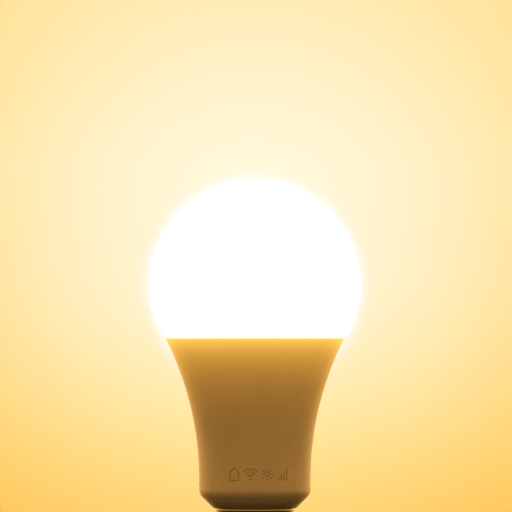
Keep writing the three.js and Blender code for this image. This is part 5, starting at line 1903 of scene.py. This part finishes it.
@dataclass(frozen=True)
class Studio:
    """A pale floor, soft warm light all round, a camera near the joint's height, and the globe's haze."""

    lens: float = 480.0
    sensor: float = 36.0
    field: float = 181.2
    aim: Place = (0.4, 0.0, 117.1)
    camera_height: float = 82.0
    floor_radius: float = 600.0
    floor_solid: float = 260.0
    sky_edge: float = 0.045
    haze_radius: float = 150.0

    def build(self) -> None:
        """Sets the studio up."""
        self.set_camera()
        self.light_world()
        self.lay_floor()
        self.hang_softbox()
        self.spread_haze()
        bpy.context.scene.view_settings.view_transform = "Standard"
        LOG.info("studio: camera %.0f mm lens, world, floor, softbox and haze", self.lens)

    def set_camera(self) -> None:
        """Places a camera that looks along +Y and a little up."""
        data = bpy.data.cameras.new("camera")
        data.lens, data.sensor_width = self.lens, self.sensor
        data.clip_end = 100.0
        camera = bpy.data.objects.new("camera", data)
        distance = self.field * self.lens / self.sensor
        camera.location = Vector((self.aim[0], self.aim[1] - distance, self.camera_height)) * MM
        pitch = math.atan2(self.aim[2] - self.camera_height, distance)
        camera.rotation_euler = (math.pi / 2 + pitch, 0.0, 0.0)
        bpy.context.scene.collection.objects.link(camera)
        bpy.context.scene.camera = camera

    def sky(self, graph: Graph, height: Signal, stops: Sequence[tuple[float, Colour]]) -> Signal:
        """Returns a sky whose colour depends on height alone, from stops at heights of -1 to 1."""
        shares = [((place + 1) / 2, colour) for place, colour in stops]
        return graph.add("ShaderNodeValToRGB", {"stops": shares}, {0: (height + 1) * 0.5})

    def light_world(self) -> None:
        """Lights the bulb from the sides and above with warm light, and shows the eye a pale backdrop."""
        world = bpy.data.worlds.new("studio")
        world.use_nodes = True
        world.cycles.sampling_method = "NONE"
        bpy.context.scene.world = world
        graph = Graph(world.node_tree)
        direction = graph.add("ShaderNodeTexCoord", output="Generated")
        height = graph.axis(direction, "Z")
        soft = self.sky(graph, height, [
            (-1.0, (0.012, 0.006, 0.001)), (-0.25, (0.075, 0.041, 0.012)), (0.02, (0.38, 0.22, 0.078)),
            (0.45, (0.45, 0.26, 0.095)), (1.0, (0.45, 0.26, 0.095)),
        ])
        shiny = self.sky(graph, height, [
            (-1.0, (0.010, 0.005, 0.001)), (-0.45, (0.04, 0.018, 0.004)), (-0.12, (1.15, 0.61, 0.146)),
            (0.02, (1.6, 0.84, 0.21)), (0.4, (1.2, 0.62, 0.15)), (1.0, (0.4, 0.21, 0.05)),
        ])
        shown = self.sky(graph, (height * (0.5 / self.sky_edge)), [
            (-1.0, (1.0, 0.76, 0.34)), (-0.26, (1.0, 0.55, 0.09)), (-0.08, (1.0, 0.633, 0.128)),
            (0.05, (1.0, 0.677, 0.141)), (0.18, (1.0, 0.702, 0.185)), (0.31, (1.0, 0.738, 0.255)),
            (0.57, (1.0, 0.766, 0.32)), (1.0, (1.0, 0.78, 0.34)),
        ])
        seen = graph.add("ShaderNodeLightPath", output="Is Camera Ray")
        mirrored = graph.add("ShaderNodeLightPath", output="Is Glossy Ray")
        # The wall behind the bulb is lit more than the room in front of it.
        behind = graph.axis(direction, "Y").rises(0.1, 0.9) * 0.8 + 1
        shiny = graph.vectors("SCALE", {"Vector": shiny, "Scale": behind})
        light = graph.blend(seen, graph.blend(mirrored, soft, shiny), shown)
        background = graph.add("ShaderNodeBackground", sockets={"Color": light})
        graph.add("ShaderNodeOutputWorld", sockets={"Surface": background})

    def stage(self, name: str, shape: Shape, finish: Finish) -> None:
        """Makes a thing that only the eye sees: it lights nothing and isn't part of the bulb."""
        mesh = bpy.data.meshes.new(name)
        shape.scaled(MM, MM, MM).bm.to_mesh(mesh)
        mesh.shade_smooth()
        mesh.materials.append(finish.material())
        made = bpy.data.objects.new(name, mesh)
        bpy.context.scene.collection.objects.link(made)
        made.visible_diffuse = made.visible_glossy = made.visible_shadow = made.visible_transmission = False

    def lay_floor(self) -> None:
        """Lays a round pale floor that fades out before its edge."""
        finish = FadingFloor("pale_floor", self.floor_solid, self.floor_radius * 0.95)
        self.stage("floor", Shape.turned([(0.0, 0.0), (self.floor_radius, 0.0)], 96), finish)

    def hang_softbox(self) -> None:
        """Hangs one large soft light above the bulb."""
        light = bpy.data.lights.new("softbox", "AREA")
        light.shape, light.size, light.energy = "DISK", 0.9, 3.0
        light.color = (1.0, 0.80, 0.48)
        softbox = bpy.data.objects.new("softbox", light)
        softbox.location = (0.0, 0.0, 1.3)
        bpy.context.scene.collection.objects.link(softbox)

    def spread_haze(self) -> None:
        """Spreads the air's glow round the globe, as the far half of a large ball."""
        globe = Box.of("diffuser_dome")
        radius = globe.high.x
        ball = Shape.turned(arc((0.0, 0.0), self.haze_radius, -90, 90, 96), 192)
        centre = globe.high.z - radius
        finish = Haze("glowing_haze", self.haze_radius, radius, centre)
        self.stage("haze", ball.moved(0.0, 0.0, centre), finish)


@dataclass(frozen=True)
class Haze(Finish):
    """Air lit by the globe: clear, with light added that falls away from the globe's rim."""

    radius: float
    rim: float
    centre: float
    close_reach: float = 1.9
    close_light: Colour = (0.02, 0.08, 0.29)
    high_light: Colour = (0.0, 0.21, 0.46)
    low_light: Colour = (0.0, 0.21, 0.18)

    def material(self) -> bpy.types.Material:
        """Makes the material, whose far half alone adds light."""
        made = bpy.data.materials.new(self.name)
        made.use_nodes = True
        graph = Graph(made.node_tree)
        # How far a straight look passes from the ball's middle, from how squarely it meets the ball.
        facing = graph.add("ShaderNodeLayerWeight", sockets={"Blend": 0.5}, output="Facing")
        passed = (1 - (1 - facing) ** 2) ** 0.5 * self.radius
        beyond = graph.maths("MAXIMUM", passed - self.rim, 0.0)
        near = graph.maths("POWER", math.e, beyond * (-1 / self.close_reach))
        height = graph.axis(graph.place(), "Z")
        wide = (1 - passed.rises(self.rim * 0.6, self.radius)) * height.rises(0.0, 20.0)
        soft = graph.blend(height.rises(20.0, self.centre + 8.0), self.low_light, self.high_light)
        light = graph.vectors("ADD", {
            0: graph.vectors("SCALE", {"Vector": self.close_light, "Scale": near}),
            1: graph.vectors("SCALE", {"Vector": soft, "Scale": wide}),
        })
        clear = graph.add("ShaderNodeBsdfTransparent", sockets={"Color": (1.0, 1.0, 1.0)})
        glow = graph.add("ShaderNodeEmission", sockets={"Color": light, "Strength": 1.0})
        lit = graph.add("ShaderNodeAddShader", sockets={0: clear, 1: glow})
        far = graph.add("ShaderNodeNewGeometry", output="Backfacing")
        surface = graph.add("ShaderNodeMixShader", sockets={0: far, 1: clear, 2: lit})
        graph.add("ShaderNodeOutputMaterial", sockets={"Surface": surface})
        return made


@dataclass(frozen=True)
class FadingFloor(Finish):
    """A pale matt floor that fades out round its edge."""

    solid: float
    gone: float

    def shade(self, graph: Graph) -> dict[str, Value]:
        """Returns the shader's sockets."""
        place = graph.place()
        fibres = graph.noise(place, 6.0, 4.0, 0.6)
        return {
            "Base Color": graph.blend(fibres, tone("EFE0C0"), tone("F6E9CC")),
            "Roughness": 0.85,
            "Emission Color": (0.62, 0.44, 0.15, 1.0),
            "Emission Strength": 1.0,
            "Alpha": 1 - graph.from_axis(place).rises(self.solid, self.gone),
        }


# ---- Assembly ----


def main() -> None:
    """Builds the bulb and its studio."""
    logging.basicConfig(level=logging.INFO, format="%(name)s: %(message)s")
    Studio().build()
    housing = Housing()
    Globe().build()
    housing.build()
    PrintedMarks().build(housing)
    ScrewCap().build()
    HeatSink().build(housing)
    lamp_board = LampBoard()
    lamp_board.build()
    WirelessModule().build()
    Driver().build(housing, lamp_board)


if __name__ == "__main__":
    main()
